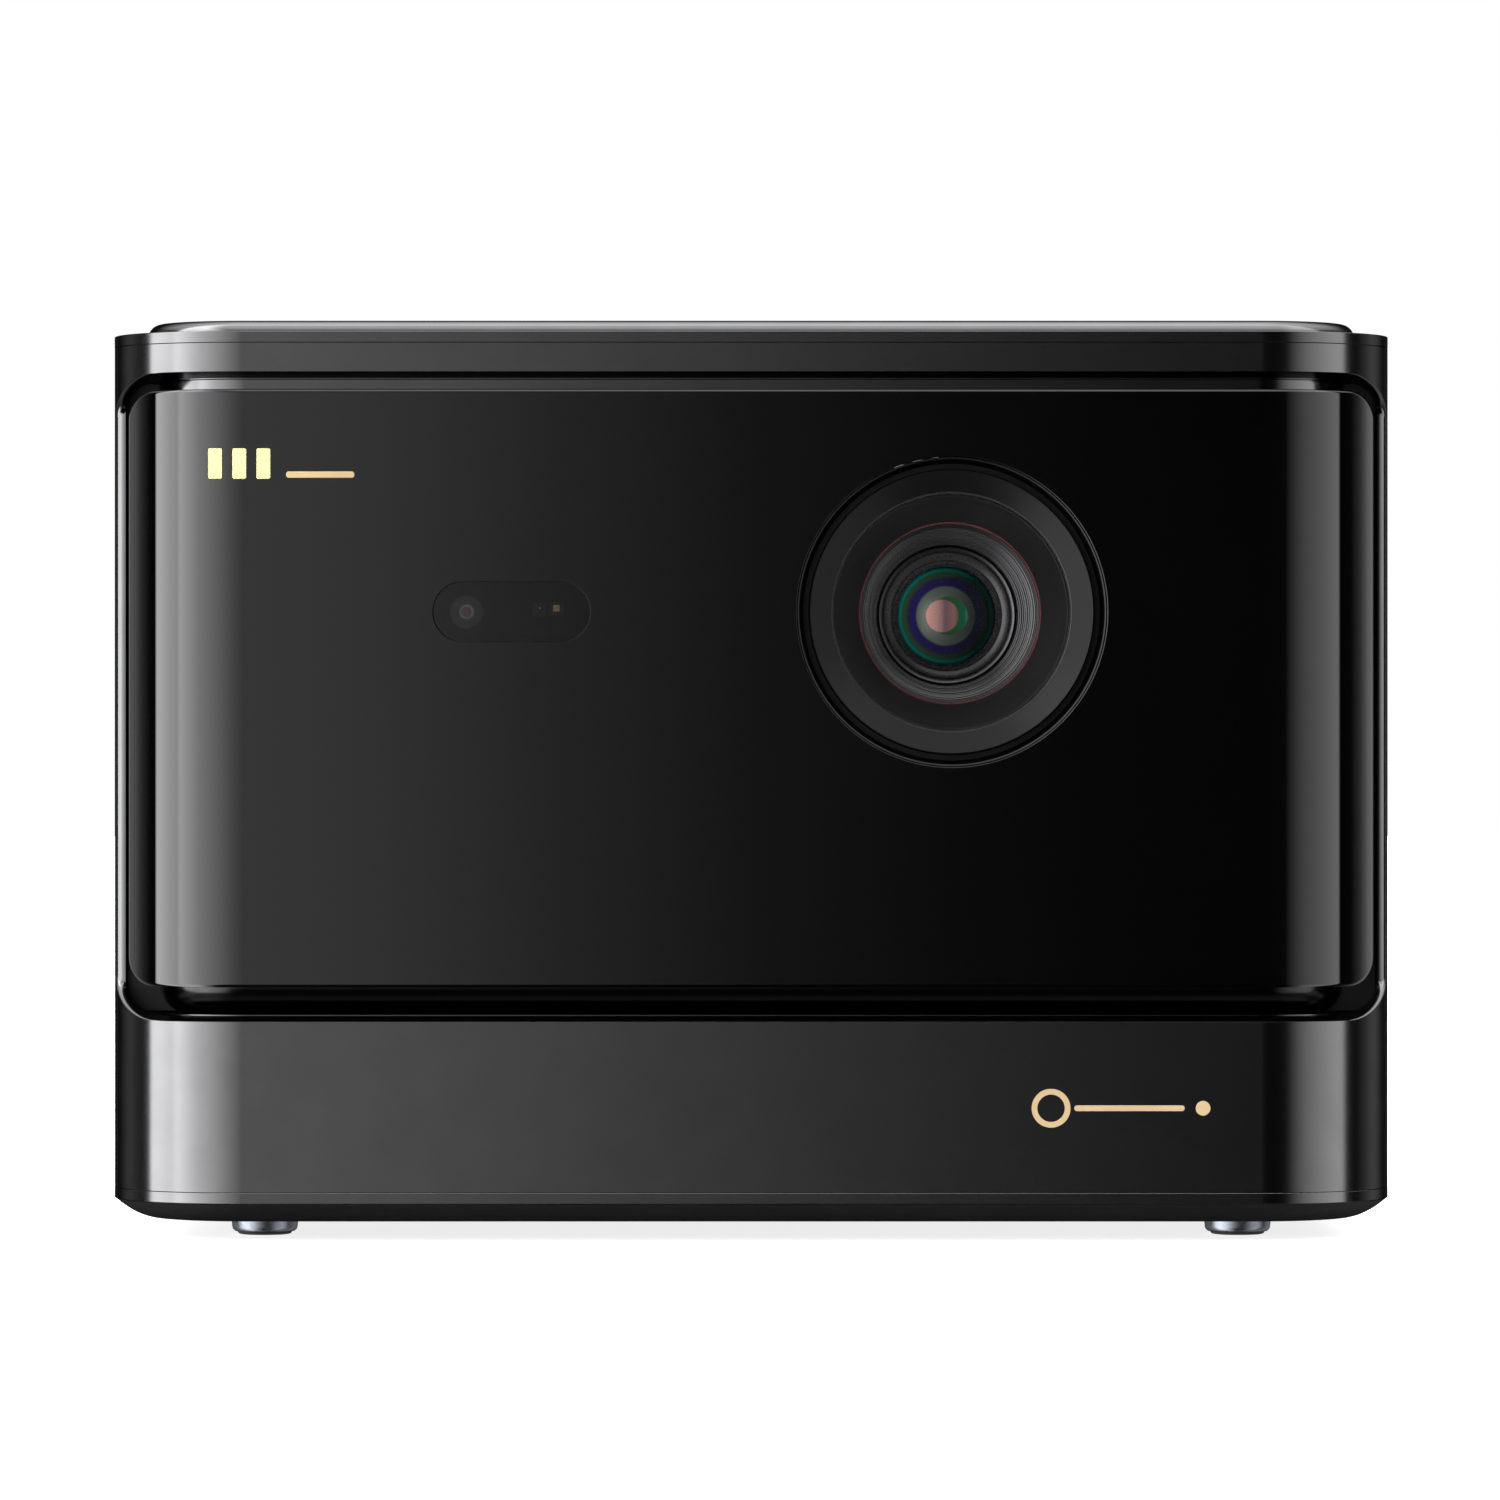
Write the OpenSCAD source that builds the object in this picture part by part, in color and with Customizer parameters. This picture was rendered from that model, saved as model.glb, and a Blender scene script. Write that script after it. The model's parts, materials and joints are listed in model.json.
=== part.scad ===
// Home projector with a wrap-round glass front, laser light engine, two side fans and two speakers.
// Millimetres. Origin: centre of the footprint on the floor. +Z up, the lens looks along -Y,
// and +X is to the right when the lens faces the reader.

/* [Body] */
// Width of the body
body_w = 246; // [242:1:250]
// Depth of the body
body_d = 209; // [207:1:213]
// Height over the top plate
body_h = 175.8; // [174.8:0.1:176.4]
// Corner radius of the plan outline
corner_r = 26; // [25:0.5:28]
// Wall thickness of the metal shell
wall = 1.6; // [1.4:0.1:1.8]

/* [Levels above the floor] */
// Underside of the base
foot_h = 3.6; // [3.2:0.1:4]
// Lower edge of the metal shell
base_top = 7.3; // [7:0.1:7.6]
// Fine joint between the bottom trim and the shell
joint_low = 9.5; // [9.2:0.1:9.8]
// Lower edge of the front opening
portal_low = 42; // [41.5:0.1:42.5]
// Upper edge of the front opening
portal_high = 165.7; // [165.4:0.1:166]
// Fine joint between the shell and the top trim
joint_high = 171.2; // [171:0.1:171.5]
// Upper edge of the metal shell
shell_top = 173.4; // [173.2:0.1:173.8]

/* [Front glass] */
// Lower edge of the glass
glass_low = 48.5; // [48:0.1:50]
// Upper edge of the glass
glass_high = 162.4; // [162:0.1:162.6]
// Distance of the glass face behind the shell face
glass_in = 1.5; // [1.2:0.1:1.8]
// Thickness of the glass
glass_t = 3; // [2.5:0.1:3]
// Radius of the glass corners seen from the front
glass_corner = 5.5; // [4:0.5:7]

/* [Lens] */
// Sideways place of the lens axis
lens_x = 38.2; // [37:0.1:39]
// Height of the lens axis
lens_z = 120; // [119:0.5:121]
// Travel of the focusing cell to each side of its rest place
focus_travel = 1; // [0.5:0.1:1]
// Teeth of the focus ring
ring_teeth = 70; // [70:1:70]
// Teeth of the motor pinion
pinion_teeth = 14; // [14:1:14]

/* [Fans and speakers] */
// Side length of a fan
fan_w = 80; // [76:1:82]
// Thickness of a fan
fan_t = 20; // [19:0.5:20]
// Blades of a fan
fan_blades = 7; // [5:1:9]
// Radius of a speaker cone
cone_r = 18.6; // [17:0.1:18.8]

/* [Vents and controls] */
// Distance between two grille fins
fin_pitch = 4; // [4:1:4]
// Width of a grille fin
fin_w = 2; // [1.6:0.1:2.4]
// Radius of the power button
button_r = 10.6; // [9:0.1:11]
// Travel of the power button
button_travel = 0.8; // [0.5:0.1:0.8]

/* [Hidden] */
$fn = 72;
eps = 0.01;
far = 400;

// Corner of the plan outline
arc_x = body_w / 2 - corner_r;
arc_y = body_d / 2 - corner_r;
front_y = -body_d / 2;
back_y = body_d / 2;
side_x = body_w / 2;

// Front opening: its half width, its corner and the plane where the shell starts again on each side
portal_half = 122.2;
portal_corner = 8;
portal_end_y = -84.9;
ledge_in = 9;
ledge_t = 1.4;
lip = 1.1;
bezel_half = portal_half - lip;
bezel_open_half = 113;
flange_y = -80.5;

// Glass ends and the neck body behind it
glass_half = 119.9;
glass_end_y = -86.6;
carrier_cut = 3.5;
neck_in = 8.5;
neck_wall = 2.5;
neck_end_y = -78;
neck_low = portal_low + 1.2;
neck_high = portal_high - 1.2;

// Side and rear openings with their grilles
side_open_y0 = -66;
side_open_y1 = 74;
rear_open_half = 92;
vent_low = 47;
vent_high = 161;
vent_corner = 8;
fin_in = 1;
grille_in = 5;

// Port opening in the rear of the bottom band
port_half = 88;
port_low = 12.5;
port_high = 33;
port_corner = 3;
panel_in = 1;

// Floors and boards
floor_top = 5.6;
board_z = 14;
board_t = 1.6;
deck_z = 43.2;
deck_t = 2;
deck_top = deck_z + deck_t;
deck_post_x = 105.5;
deck_post_y = [-60, 72];

// Feet and base fasteners
foot_x = 94.2;
foot_y = 75.5;
foot_r = 6.5;
pad_r = 5.2;
pad_h = 2.2;
boss_off = 9.9;
boss_r = 5;
screw_x = arc_x + boss_off;
screw_y = arc_y + boss_off;
screw_r = 1.5;
screw_head_r = 3;
screw_head_z = 4.6;
screw_head_t = 1.8;
standoffs = [[-92, -54], [92, -54], [-92, 88], [92, 88], [-40, 20], [40, 20]];
standoff_r = 3.5;
tripod_r = 2.6;
tripod_len = 8;
insert_r = 6;
base_vent_x = 66;
base_vent_half = 18;
base_vent_y = -26;
base_vent_pitch = 6;
base_vent_w = 2.6;
base_vents = 10;

// Cuts through the front wall run between these planes
cut_front = -120;
cut_back = -80;
lens_cut_r = 31;

// Sensor window, camera and distance sensor
pill_x = -45.6;
pill_w = 30;
pill_h = 11.6;
pill_clear = 1.5;
camera_x = -54.2;
camera_r = 3.2;
camera_half = 4.5;
tof_x = [-40.3, -37.1];
tof_half = 1.3;

// Marks
mark_t = 0.12;
mark_x = -102;
mark_z = 148.2;
mark_bar = [2.6, 5.8];
mark_pitch = 4.6;
mark_line = [13, 1.2];
mark_line_off = [20, -2.1];
inlay_x = 57;
inlay_z = 25.6;
inlay_t = 0.3;
inlay_ring_r = [3.7, 2.6];
inlay_line = [21, 1.1];
inlay_line_x = 14.9;
inlay_dot_r = 1.4;
inlay_dot_x = 28.9;
inlay_gap = 0.05;

// Lens stack, as distances in front of the origin plane along the lens axis
face_h = 103;
hood_front = 96.1;
hood_rear = 62;
barrel_rear = 30;
barrel_front = 62;
barrel_r = 24;
barrel_bore = 21;
cell_r = 20.92;
throat_r = 14.5;
glass_hole_r = 29.6;

// Focus gears
gear_m = 0.8;
ring_pitch_r = gear_m * ring_teeth / 2;
pinion_pitch_r = gear_m * pinion_teeth / 2;
gear_gap = ring_pitch_r + pinion_pitch_r;
gear_angle = 225;
gear_h0 = 48;
gear_h1 = 56;
motor_r = 7.5;
motor_len = 16;
motor_shaft_r = 1;
motor_shaft_h = 39;
motor_x = lens_x + gear_gap * cos(gear_angle);
motor_z = lens_z + gear_gap * sin(gear_angle);

// Light engine
engine_x0 = 6;
engine_x1 = 78;
engine_y0 = -30;
engine_y1 = 34;
engine_z0 = 84;
engine_z1 = 150;
light_y = 10;
light_z = lens_z;
wheel_x = -12;
wheel_z = 98;
wheel_r = 24;
wheel_shaft_r = 1.5;
laser_x0 = -66;
laser_x1 = -34;
laser_top = 142;
tube_r = 8;
tube_bore = 6;
sink_x0 = -94;
sink_low = 66;
sink_fins = 20;
sink_pitch = 4.1;
shift_y = -24.5;

// Fans and speakers
fan_x = 96;
fan_y = 22;
fan_z = 104;
fan_bore = fan_w / 2 - 1.5;
fan_hub = 15.5;
spindle_r = 2;
shaft_gap = 0.05;
fan_foot_off = 28;
fan_foot_half = 5;
fan_hole_in = 4.5;
fan_hole_r = 2.2;
speaker_wall = 2.2;
speaker_x0 = 80;
speaker_x1 = 116;
speaker_y0 = -76;
speaker_y1 = -28;
speaker_z1 = 95;
cone_y = -52;
cone_z = 70;

// Power button
button_y = 60;
button_low = 168.9;
button_flange_r = 12.2;
plate_in = 6.5;
plate_low = 170.45;
frame_low = 168.8;

// Sockets on the main board: place along X
dc_x = -72;
lan_x = -48;
usb_x = [-24, -4];
hdmi_x = [18, 40];
optical_x = 60;
audio_x = 75;
socket_z = board_z + board_t;
socket_face = 103.2;
socket_cut = [90, 110];

// ---- shared shapes ----

module rrect(w, d, r) {
    square([w - 2 * r, d], center = true);
    square([w, d - 2 * r], center = true);
    for (sx = [-1, 1], sy = [-1, 1])
        translate([sx * (w / 2 - r), sy * (d / 2 - r)]) circle(r);
}

// The plan outline drawn in by inset, from z0 to z1
module outline(inset, z0, z1) {
    translate([0, 0, z0]) linear_extrude(z1 - z0)
        rrect(body_w - 2 * inset, body_d - 2 * inset, corner_r - inset);
}

// A ring between two insets of the plan outline
module band(in0, in1, z0, z1) {
    difference() {
        outline(in0, z0, z1);
        outline(in1, z0 - 1, z1 + 1);
    }
}

// A rounded rectangle seen from the front, from y0 back to y1
module front_slab(x0, x1, z0, z1, r, y0, y1) {
    translate([(x0 + x1) / 2, y1, (z0 + z1) / 2]) rotate([90, 0, 0])
        linear_extrude(y1 - y0) rrect(x1 - x0, z1 - z0, r);
}

// A rounded rectangle seen from the side, from x0 to x1
module side_slab(x0, x1, y0, y1, z0, z1, r) {
    translate([x0, (y0 + y1) / 2, (z0 + z1) / 2]) rotate([90, 0, 90])
        linear_extrude(x1 - x0) rrect(y1 - y0, z1 - z0, r);
}

// A box given by its two corners
module block(a, b) {
    translate(a) cube(b - a);
}

// Shapes turned about the lens axis: local Z counts the distance in front of the origin plane
module on_lens_axis() {
    translate([lens_x, 0, lens_z]) rotate([90, 0, 0]) children();
}

// Left is -X and right is +X
module on_side(side) {
    if (side < 0) mirror([1, 0, 0]) children();
    else children();
}

// A cylinder along +X
module x_rod(x0, x1, y, z, r) {
    translate([x0, y, z]) rotate([0, 90, 0]) cylinder(r = r, h = x1 - x0);
}

// A cylinder along +Y
module y_rod(x, y0, y1, z, r) {
    translate([x, y1, z]) rotate([90, 0, 0]) cylinder(r = r, h = y1 - y0);
}

// Outline of a spur gear with straight-sided teeth, first tooth on +X turned by phase
function tooth(a, root_r, tip_r, root_w, tip_w) = [
    for (p = [[root_r, -root_w], [tip_r, -tip_w], [tip_r, tip_w], [root_r, root_w]])
        [p[0] * cos(a + p[1] / 2 * 180 / PI / p[0]), p[0] * sin(a + p[1] / 2 * 180 / PI / p[0])]];
module gear_outline(teeth, phase) {
    pitch_r = gear_m * teeth / 2;
    polygon([for (i = [0 : teeth - 1])
        each tooth(phase + i * 360 / teeth, pitch_r - gear_m, pitch_r + 0.75 * gear_m, 1.5, 0.5)]);
}

// ---- casing ----

module shell_wall() {
    difference() {
        band(0, wall, joint_low, joint_high);
        front_slab(-portal_half, portal_half, portal_low, portal_high, portal_corner,
            -far, portal_end_y);
        side_slab(-far, far, side_open_y0, side_open_y1, vent_low, vent_high, vent_corner);
        front_slab(-rear_open_half, rear_open_half, vent_low, vent_high, vent_corner, 0, far);
        front_slab(-port_half, port_half, port_low, port_high, port_corner, 0, far);
    }
}

module outer_shell() {
    color("#2b2c2e") difference() {
        union() {
            shell_wall();
            band(lip, ledge_in, portal_low - ledge_t, portal_low + lip);
            band(lip, ledge_in, portal_high - lip, portal_high + ledge_t);
            for (sx = [-1, 1], sy = [-1, 1])
                translate([sx * screw_x, sy * screw_y, joint_low + 0.5])
                    cylinder(r = boss_r, h = portal_low - joint_low);
        }
        for (sx = [-1, 1], sy = [-1, 1])
            translate([sx * screw_x, sy * screw_y, 0]) cylinder(r = screw_r + 0.1, h = 24);
        translate([0, front_y + inlay_t + inlay_gap, 0]) rotate([90, 0, 0])
            linear_extrude(1) inlay_outline(inlay_gap);
    }
}

module top_frame() {
    color("#2b2c2e") {
        difference() {
            union() {
                band(0, plate_in - 0.1, joint_high + 0.05, shell_top);
                band(wall + 0.2, plate_in - 0.1, frame_low, joint_high + 0.5);
                outline(wall + 0.2, frame_low, plate_low - 0.1);
                for (sx = [-1, 1]) translate([sx * 15, button_y, 165.3]) cylinder(r = 2.5, h = 4);
            }
            translate([0, button_y, 160]) cylinder(r = 13.5, h = 12);
            for (sx = [-1, 1]) block([sx * 60 - 36, -76, 160], [sx * 60 + 36, 34, 172]);
        }
    }
}

module bottom_trim() {
    color("#2b2c2e") band(0, 5, base_top + 0.05, joint_low - 0.05);
}

module base_cover() {
    color("#111112") difference() {
        union() {
            difference() {
                hull($fn = 32) {
                    outline(7, foot_h, foot_h + 0.1);
                    outline(0, base_top - 0.3, base_top);
                }
                outline(9, floor_top, base_top + 1);
            }
            for (p = standoffs) translate([p[0], p[1], floor_top - 1])
                cylinder(r = standoff_r, h = board_z - floor_top + 1);
            for (sx = [-1, 1], sy = [-1, 1]) translate([sx * screw_x, sy * screw_y, floor_top - 1])
                cylinder(r = boss_r, h = joint_low - floor_top + 1.4);
            translate([0, 0, floor_top - 1]) cylinder(r = insert_r + 3, h = tripod_len - 0.4);
        }
        for (p = standoffs) translate([p[0], p[1], floor_top + 1]) cylinder(r = 1.2, h = 20);
        for (sx = [-1, 1], sy = [-1, 1]) translate([sx * screw_x, sy * screw_y, 0]) {
            cylinder(r = screw_r + 0.3, h = 20);
            cylinder(r = screw_head_r + 0.4, h = screw_head_z + screw_head_t);
        }
        cylinder(r = insert_r + shaft_gap, h = 20);
        for (sx = [-1, 1], i = [0 : base_vents - 1])
            translate([sx * base_vent_x, base_vent_y + i * base_vent_pitch, 0])
                block([-base_vent_half, 0, 0], [base_vent_half, base_vent_w, floor_top + 1]);
    }
}

module foot_collars() {
    color("#b9bcc0") for (sx = [-1, 1], sy = [-1, 1]) translate([sx * foot_x, sy * foot_y, 0])
        rotate_extrude() polygon([[pad_r + 0.1, 0.5], [foot_r - 0.5, 0.5], [foot_r, 1.1],
            [foot_r, foot_h], [0, foot_h], [0, pad_h], [pad_r + 0.1, pad_h]]);
}

module foot_pads() {
    color("#1a1a1a") for (sx = [-1, 1], sy = [-1, 1]) translate([sx * foot_x, sy * foot_y, 0])
        cylinder(r = pad_r, h = pad_h);
}

module base_screws() {
    color("#3a3a3c") for (sx = [-1, 1], sy = [-1, 1]) translate([sx * screw_x, sy * screw_y, 0])
        difference() {
            union() {
                translate([0, 0, screw_head_z]) cylinder(r = screw_head_r, h = screw_head_t);
                translate([0, 0, 6]) cylinder(r = screw_r, h = 15);
            }
            translate([0, 0, 4]) cylinder(r = 1.3, h = 1.6, $fn = 6);
        }
}

module tripod_insert() {
    color("#b08d4a") translate([0, 0, foot_h]) difference() {
        cylinder(r = insert_r, h = tripod_len + 1);
        translate([0, 0, -eps]) cylinder(r = tripod_r, h = tripod_len + eps);
    }
}

module top_cover() {
    color("#0a0a0b") difference() {
        union() {
            outline(plate_in, plate_low, body_h - 0.8);
            outline(plate_in + 0.4, body_h - 0.9, body_h - 0.4);
            outline(plate_in + 1.2, body_h - 0.5, body_h);
        }
        translate([0, button_y, 160]) cylinder(r = button_r + 0.3, h = 20);
    }
}

module power_button() {
    color("#1c1c1e") translate([0, button_y, 0]) {
        translate([0, 0, 170.2]) cylinder(r = button_r, h = body_h - 0.4 - 170.2);
        translate([0, 0, button_low]) cylinder(r = button_flange_r, h = 1.4);
        translate([0, 0, 168.2]) cylinder(r = 2, h = 1);
    }
}

module button_dome() {
    color("#44464a") translate([0, button_y, 0]) rotate_extrude()
        polygon([[8.2, 165.2], [9, 165.2], [9, 165.8], [5.6, button_low], [4.8, button_low], [8.2, 165.7]]);
}

module button_board() {
    color("#14532d") translate([0, button_y, 0]) {
        translate([-20, -11, 163.6]) cube([40, 22, 1.6]);
        translate([-3, -3, 165.1]) cube([6, 6, 1.6]);
        translate([0, 0, 166.6]) cylinder(r = 1.5, h = 0.7);
    }
}

// ---- front ----

// The sensor window's shape, wider by grow_x and taller by grow_z on each side
module pill_slab(grow_x, grow_z, y0, y1) {
    front_slab(pill_x - pill_w / 2 - grow_x, pill_x + pill_w / 2 + grow_x, lens_z - pill_h / 2 - grow_z,
        lens_z + pill_h / 2 + grow_z, pill_h / 2 + min(grow_x, grow_z) - eps, y0, y1);
}

module neck_section() {
    difference() {
        outline(neck_in, neck_low, neck_high);
        outline(neck_in + neck_wall, neck_low + neck_wall, neck_high - neck_wall);
    }
}

module front_bezel() {
    color("#161617") difference() {
        union() {
            intersection() {
                neck_section();
                block([-far, -far, 0], [far, neck_end_y, far]);
            }
            intersection() {
                band(glass_in + glass_t + 0.1, neck_in + 1, glass_low + carrier_cut,
                    glass_high - carrier_cut);
                block([-far, -far, 0], [far, glass_end_y - 2, far]);
            }
            difference() {
                block([-bezel_half, flange_y, neck_low], [bezel_half, neck_end_y, neck_high]);
                block([-bezel_open_half, -90, neck_low + neck_wall],
                    [bezel_open_half, -70, neck_high - neck_wall]);
            }
        }
        y_rod(lens_x, cut_front, cut_back, lens_z, lens_cut_r);
        pill_slab(pill_clear, 1.2, cut_front, cut_back);
    }
}

module front_glass() {
    color("#050506") difference() {
        intersection() {
            band(glass_in, glass_in + glass_t, glass_low - 1, glass_high + 1);
            front_slab(-glass_half, glass_half, glass_low, glass_high, glass_corner, -far, glass_end_y);
        }
        y_rod(lens_x, cut_front, cut_back, lens_z, glass_hole_r);
        pill_slab(0, 0, cut_front, cut_back);
    }
}

module sensor_window() {
    color("#0d0d10") pill_slab(-0.1, -0.1, -face_h, -face_h + glass_t);
}

module camera_module() {
    color("#26262a") difference() {
        union() {
            block([camera_x - camera_half, -97.2, lens_z - camera_half],
                [camera_x + camera_half, -92, lens_z + camera_half]);
            y_rod(camera_x, -99.8, -97, lens_z, camera_r);
        }
        y_rod(camera_x, -100, -99, lens_z, 1.26);
    }
}

module tof_sensor() {
    color("#17171a") {
        block([-44, -94.4, lens_z - 4], [-33.4, -93.2, lens_z + 4]);
        for (x = tof_x)
            block([x - tof_half, -96.4, lens_z - 0.8], [x + tof_half, -94.3, lens_z + 1.8]);
    }
}

// Three upright bars and a thin line
module front_mark() {
    color("#e0c480") translate([0, -face_h, 0]) rotate([90, 0, 0]) linear_extrude(mark_t) {
        for (i = [0 : 2]) translate([mark_x + i * mark_pitch, mark_z]) square(mark_bar, center = true);
        translate([mark_x, mark_z] + mark_line_off) square(mark_line, center = true);
    }
}

// Ring, line and dot, drawn larger by grow all round
module inlay_outline(grow) {
    translate([inlay_x, inlay_z]) difference() {
        circle(inlay_ring_r[0] + grow);
        circle(inlay_ring_r[1] - grow);
    }
    translate([inlay_x + inlay_line_x, inlay_z])
        square(inlay_line + [2 * grow, 2 * grow], center = true);
    translate([inlay_x + inlay_dot_x, inlay_z]) circle(inlay_dot_r + grow);
}

module band_inlay() {
    color("#b79a63") translate([0, front_y + inlay_t, 0]) rotate([90, 0, 0])
        linear_extrude(inlay_t) inlay_outline(0);
}

// ---- lens ----

module lens_trim_ring() {
    color("#1d1d1f") on_lens_axis() rotate_extrude()
        polygon([[29.4, hood_front + 0.1], [29.4, face_h], [28.9, face_h], [27.4, 101.9], [26.9, 102.7],
            [26.4, 102.7], [22.9, 99.6], [22.4, hood_front + 0.1]]);
}

// Light baffle: a smooth cone, then steps down to the throat
baffle_steps = 12;
function baffle(i) = let (f = i / baffle_steps) [17.3 - 4 * f, 87.5 - 23 * f];
module lens_hood() {
    color("#121213") on_lens_axis() rotate_extrude()
        polygon(concat([[26, hood_front], [22.2, hood_front]],
            [for (i = [0 : baffle_steps - 1]) each [baffle(i), [baffle(i)[0], baffle(i + 1)[1]]]],
            [[13.3, hood_rear], [22, hood_rear], [22, hood_rear + 2], [16.5, hood_rear + 2], [19.8, 86],
            [24.4, 93], [26, 93]]));
}

module lens_barrel() {
    color("#2a2a2c") on_lens_axis() rotate_extrude()
        polygon([[barrel_bore, barrel_rear], [25.8, barrel_rear], [25.8, barrel_rear + 3],
            [barrel_r, barrel_rear + 3], [barrel_r, barrel_front], [throat_r, barrel_front],
            [throat_r, barrel_front - 2], [barrel_bore, barrel_front - 2]]);
}

module lens_cell() {
    color("#202022") on_lens_axis() rotate_extrude()
        polygon([[14.1, 37], [cell_r, 37], [cell_r, 57.2], [13.8, 57.2], [13.8, 59.4], [10.5, 59.4],
            [10.5, 54], [9, 54], [9, 44.2], [14.1, 44.2]]);
}

module front_lens() {
    color("#2f5b52") on_lens_axis() intersection() {
        translate([0, 0, 54.05]) cylinder(r = 10.4, h = 8);
        translate([0, 0, 38]) sphere(r = 22, $fn = 180);
    }
}

module rear_lens() {
    color("#3d6f8c") on_lens_axis() intersection() {
        translate([0, 0, 37.5]) cylinder(r = 14, h = 6.6);
        translate([0, 0, -6.1]) sphere(r = 50, $fn = 180);
        translate([0, 0, 88]) sphere(r = 50, $fn = 180);
    }
}

module lens_retainer() {
    color("#17171a") on_lens_axis() translate([0, 0, 59.45]) difference() {
        cylinder(r = 13.6, h = 1.35);
        translate([0, 0, -1]) cylinder(r = 9.6, h = 4);
    }
}

module focus_ring() {
    color("#d8d4c4") on_lens_axis() translate([0, 0, gear_h0]) difference() {
        linear_extrude(gear_h1 - gear_h0) gear_outline(ring_teeth, gear_angle);
        translate([0, 0, -1]) cylinder(r = barrel_r + 0.08, h = 20);
    }
}

module focus_pinion() {
    color("#c9a657") translate([motor_x, 0, motor_z]) rotate([90, 0, 0]) {
        translate([0, 0, gear_h0]) linear_extrude(gear_h1 - gear_h0)
            gear_outline(pinion_teeth, gear_angle + 180 + 180 / pinion_teeth);
        translate([0, 0, motor_shaft_h]) cylinder(r = motor_shaft_r, h = gear_h0 - motor_shaft_h + 1);
    }
}

module focus_motor() {
    color("#9a9da1") translate([motor_x, 0, motor_z]) rotate([90, 0, 0]) difference() {
        union() {
            translate([0, 0, barrel_rear]) cylinder(r = motor_r, h = motor_len);
            translate([0, 0, barrel_rear + motor_len - 1]) cylinder(r = motor_r / 3, h = 2);
        }
        translate([0, 0, motor_shaft_h - 1]) cylinder(r = motor_shaft_r + shaft_gap, h = 20);
    }
}

// ---- light engine ----

module engine_housing() {
    color("#6d7074") difference() {
        union() {
            block([engine_x0, engine_y0, engine_z0], [engine_x1, engine_y1, engine_z1]);
            x_rod(-9, engine_x0 + 1, light_y, light_z, tube_r);
            for (x = [14, 70], y = [-22, 26]) translate([x, y, deck_top]) cylinder(r = 4, h = 40);
        }
        block([engine_x0 + 2.5, engine_y0 + 2.5, engine_z0 + 2.5],
            [engine_x1 - 2.5, engine_y1 - 2.5, engine_z1 - 2.5]);
        x_rod(-20, engine_x0 + 5, light_y, light_z, tube_bore);
        y_rod(lens_x, engine_y0 - 5, engine_y0 + 5, lens_z, 16);
        block([lens_x - 13, engine_y1 - 5, lens_z - 10], [lens_x + 13, engine_y1 + 5, lens_z + 10]);
    }
}

module prism() {
    color("#bcd7e0") translate([lens_x, 6, lens_z - 12]) linear_extrude(24)
        polygon([[-13, -13], [13, 13], [-13, 13]]);
}

module shift_frame() {
    color("#3c3e42") translate([lens_x, shift_y, lens_z]) difference() {
        block([-20, -2.4, -18], [20, 2.4, 18]);
        block([-15, -5, -13], [15, 5, 13]);
        translate([0, 0, -15.5]) cylinder(r = 0.85, h = 31);
    }
}

module shift_plate() {
    color("#cfe3ea") translate([lens_x, shift_y, lens_z]) {
        block([-13, -0.8, -11], [13, 0.8, 11]);
        translate([0, 0, -15]) cylinder(r = 0.8, h = 30);
    }
}

module dmd_board() {
    color("#14532d") {
        block([lens_x - 24, engine_y1 + 0.2, 96], [lens_x + 24, engine_y1 + 1.8, 144]);
        block([lens_x - 11, engine_y1 - 2.4, lens_z - 8], [lens_x + 11, engine_y1 + 0.3, lens_z + 8]);
    }
}

module dmd_heatsink() {
    color("#a7aaad") {
        block([lens_x - 20, engine_y1 + 2.6, 104], [lens_x + 20, engine_y1 + 6, 140]);
        for (i = [0 : 9]) translate([lens_x - 19.8 + i * 4.25, engine_y1 + 5, 104]) cube([1.4, 20, 36]);
    }
}

module laser_module() {
    color("#50545a") difference() {
        union() {
            block([laser_x0, -8, 100], [laser_x1, 28, laser_top]);
            x_rod(laser_x1 - 1, wheel_x - 1.2, light_y, light_z, tube_r);
            for (x = [laser_x0 + 6, laser_x1 - 6]) translate([x, light_y, deck_top])
                cylinder(r = 4, h = 56);
        }
        x_rod(laser_x1 - 6, wheel_x, light_y, light_z, tube_bore);
    }
}

module laser_heatsink() {
    color("#a7aaad") {
        block([laser_x0 - 4, -20, sink_low], [laser_x0, 60, laser_top]);
        for (i = [0 : sink_fins - 1]) translate([sink_x0, -19.4 + i * sink_pitch, sink_low])
            cube([laser_x0 - 3 - sink_x0, 1.3, laser_top - sink_low]);
    }
}

module heat_pipes() {
    pipe_r = 3;
    bend = 7;
    color("#b5683c") for (y0 = [-4, 24]) translate([0, y0, laser_top + pipe_r]) {
        for (s = [-1, 1]) x_rod(sink_x0 + 3, laser_x1 - 12, s * bend, 0, pipe_r);
        translate([laser_x1 - 12, 0, 0]) rotate([0, 0, -90]) rotate_extrude(angle = 180)
            translate([bend, 0]) circle(pipe_r);
    }
}

module wheel_motor() {
    color("#8c8f94") difference() {
        union() {
            x_rod(-33, wheel_x - 3, light_y, wheel_z, 12);
            block([-33, light_y - 12, deck_top], [-29, light_y + 12, wheel_z]);
        }
        x_rod(-22, wheel_x, light_y, wheel_z, wheel_shaft_r + shaft_gap);
    }
}

module phosphor_wheel() {
    color("#e6c33a") {
        x_rod(wheel_x, wheel_x + 1, light_y, wheel_z, wheel_r);
        x_rod(wheel_x - 2, wheel_x + 2.5, light_y, wheel_z, 7);
        x_rod(-21, wheel_x, light_y, wheel_z, wheel_shaft_r);
    }
}

// ---- cooling ----

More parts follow.
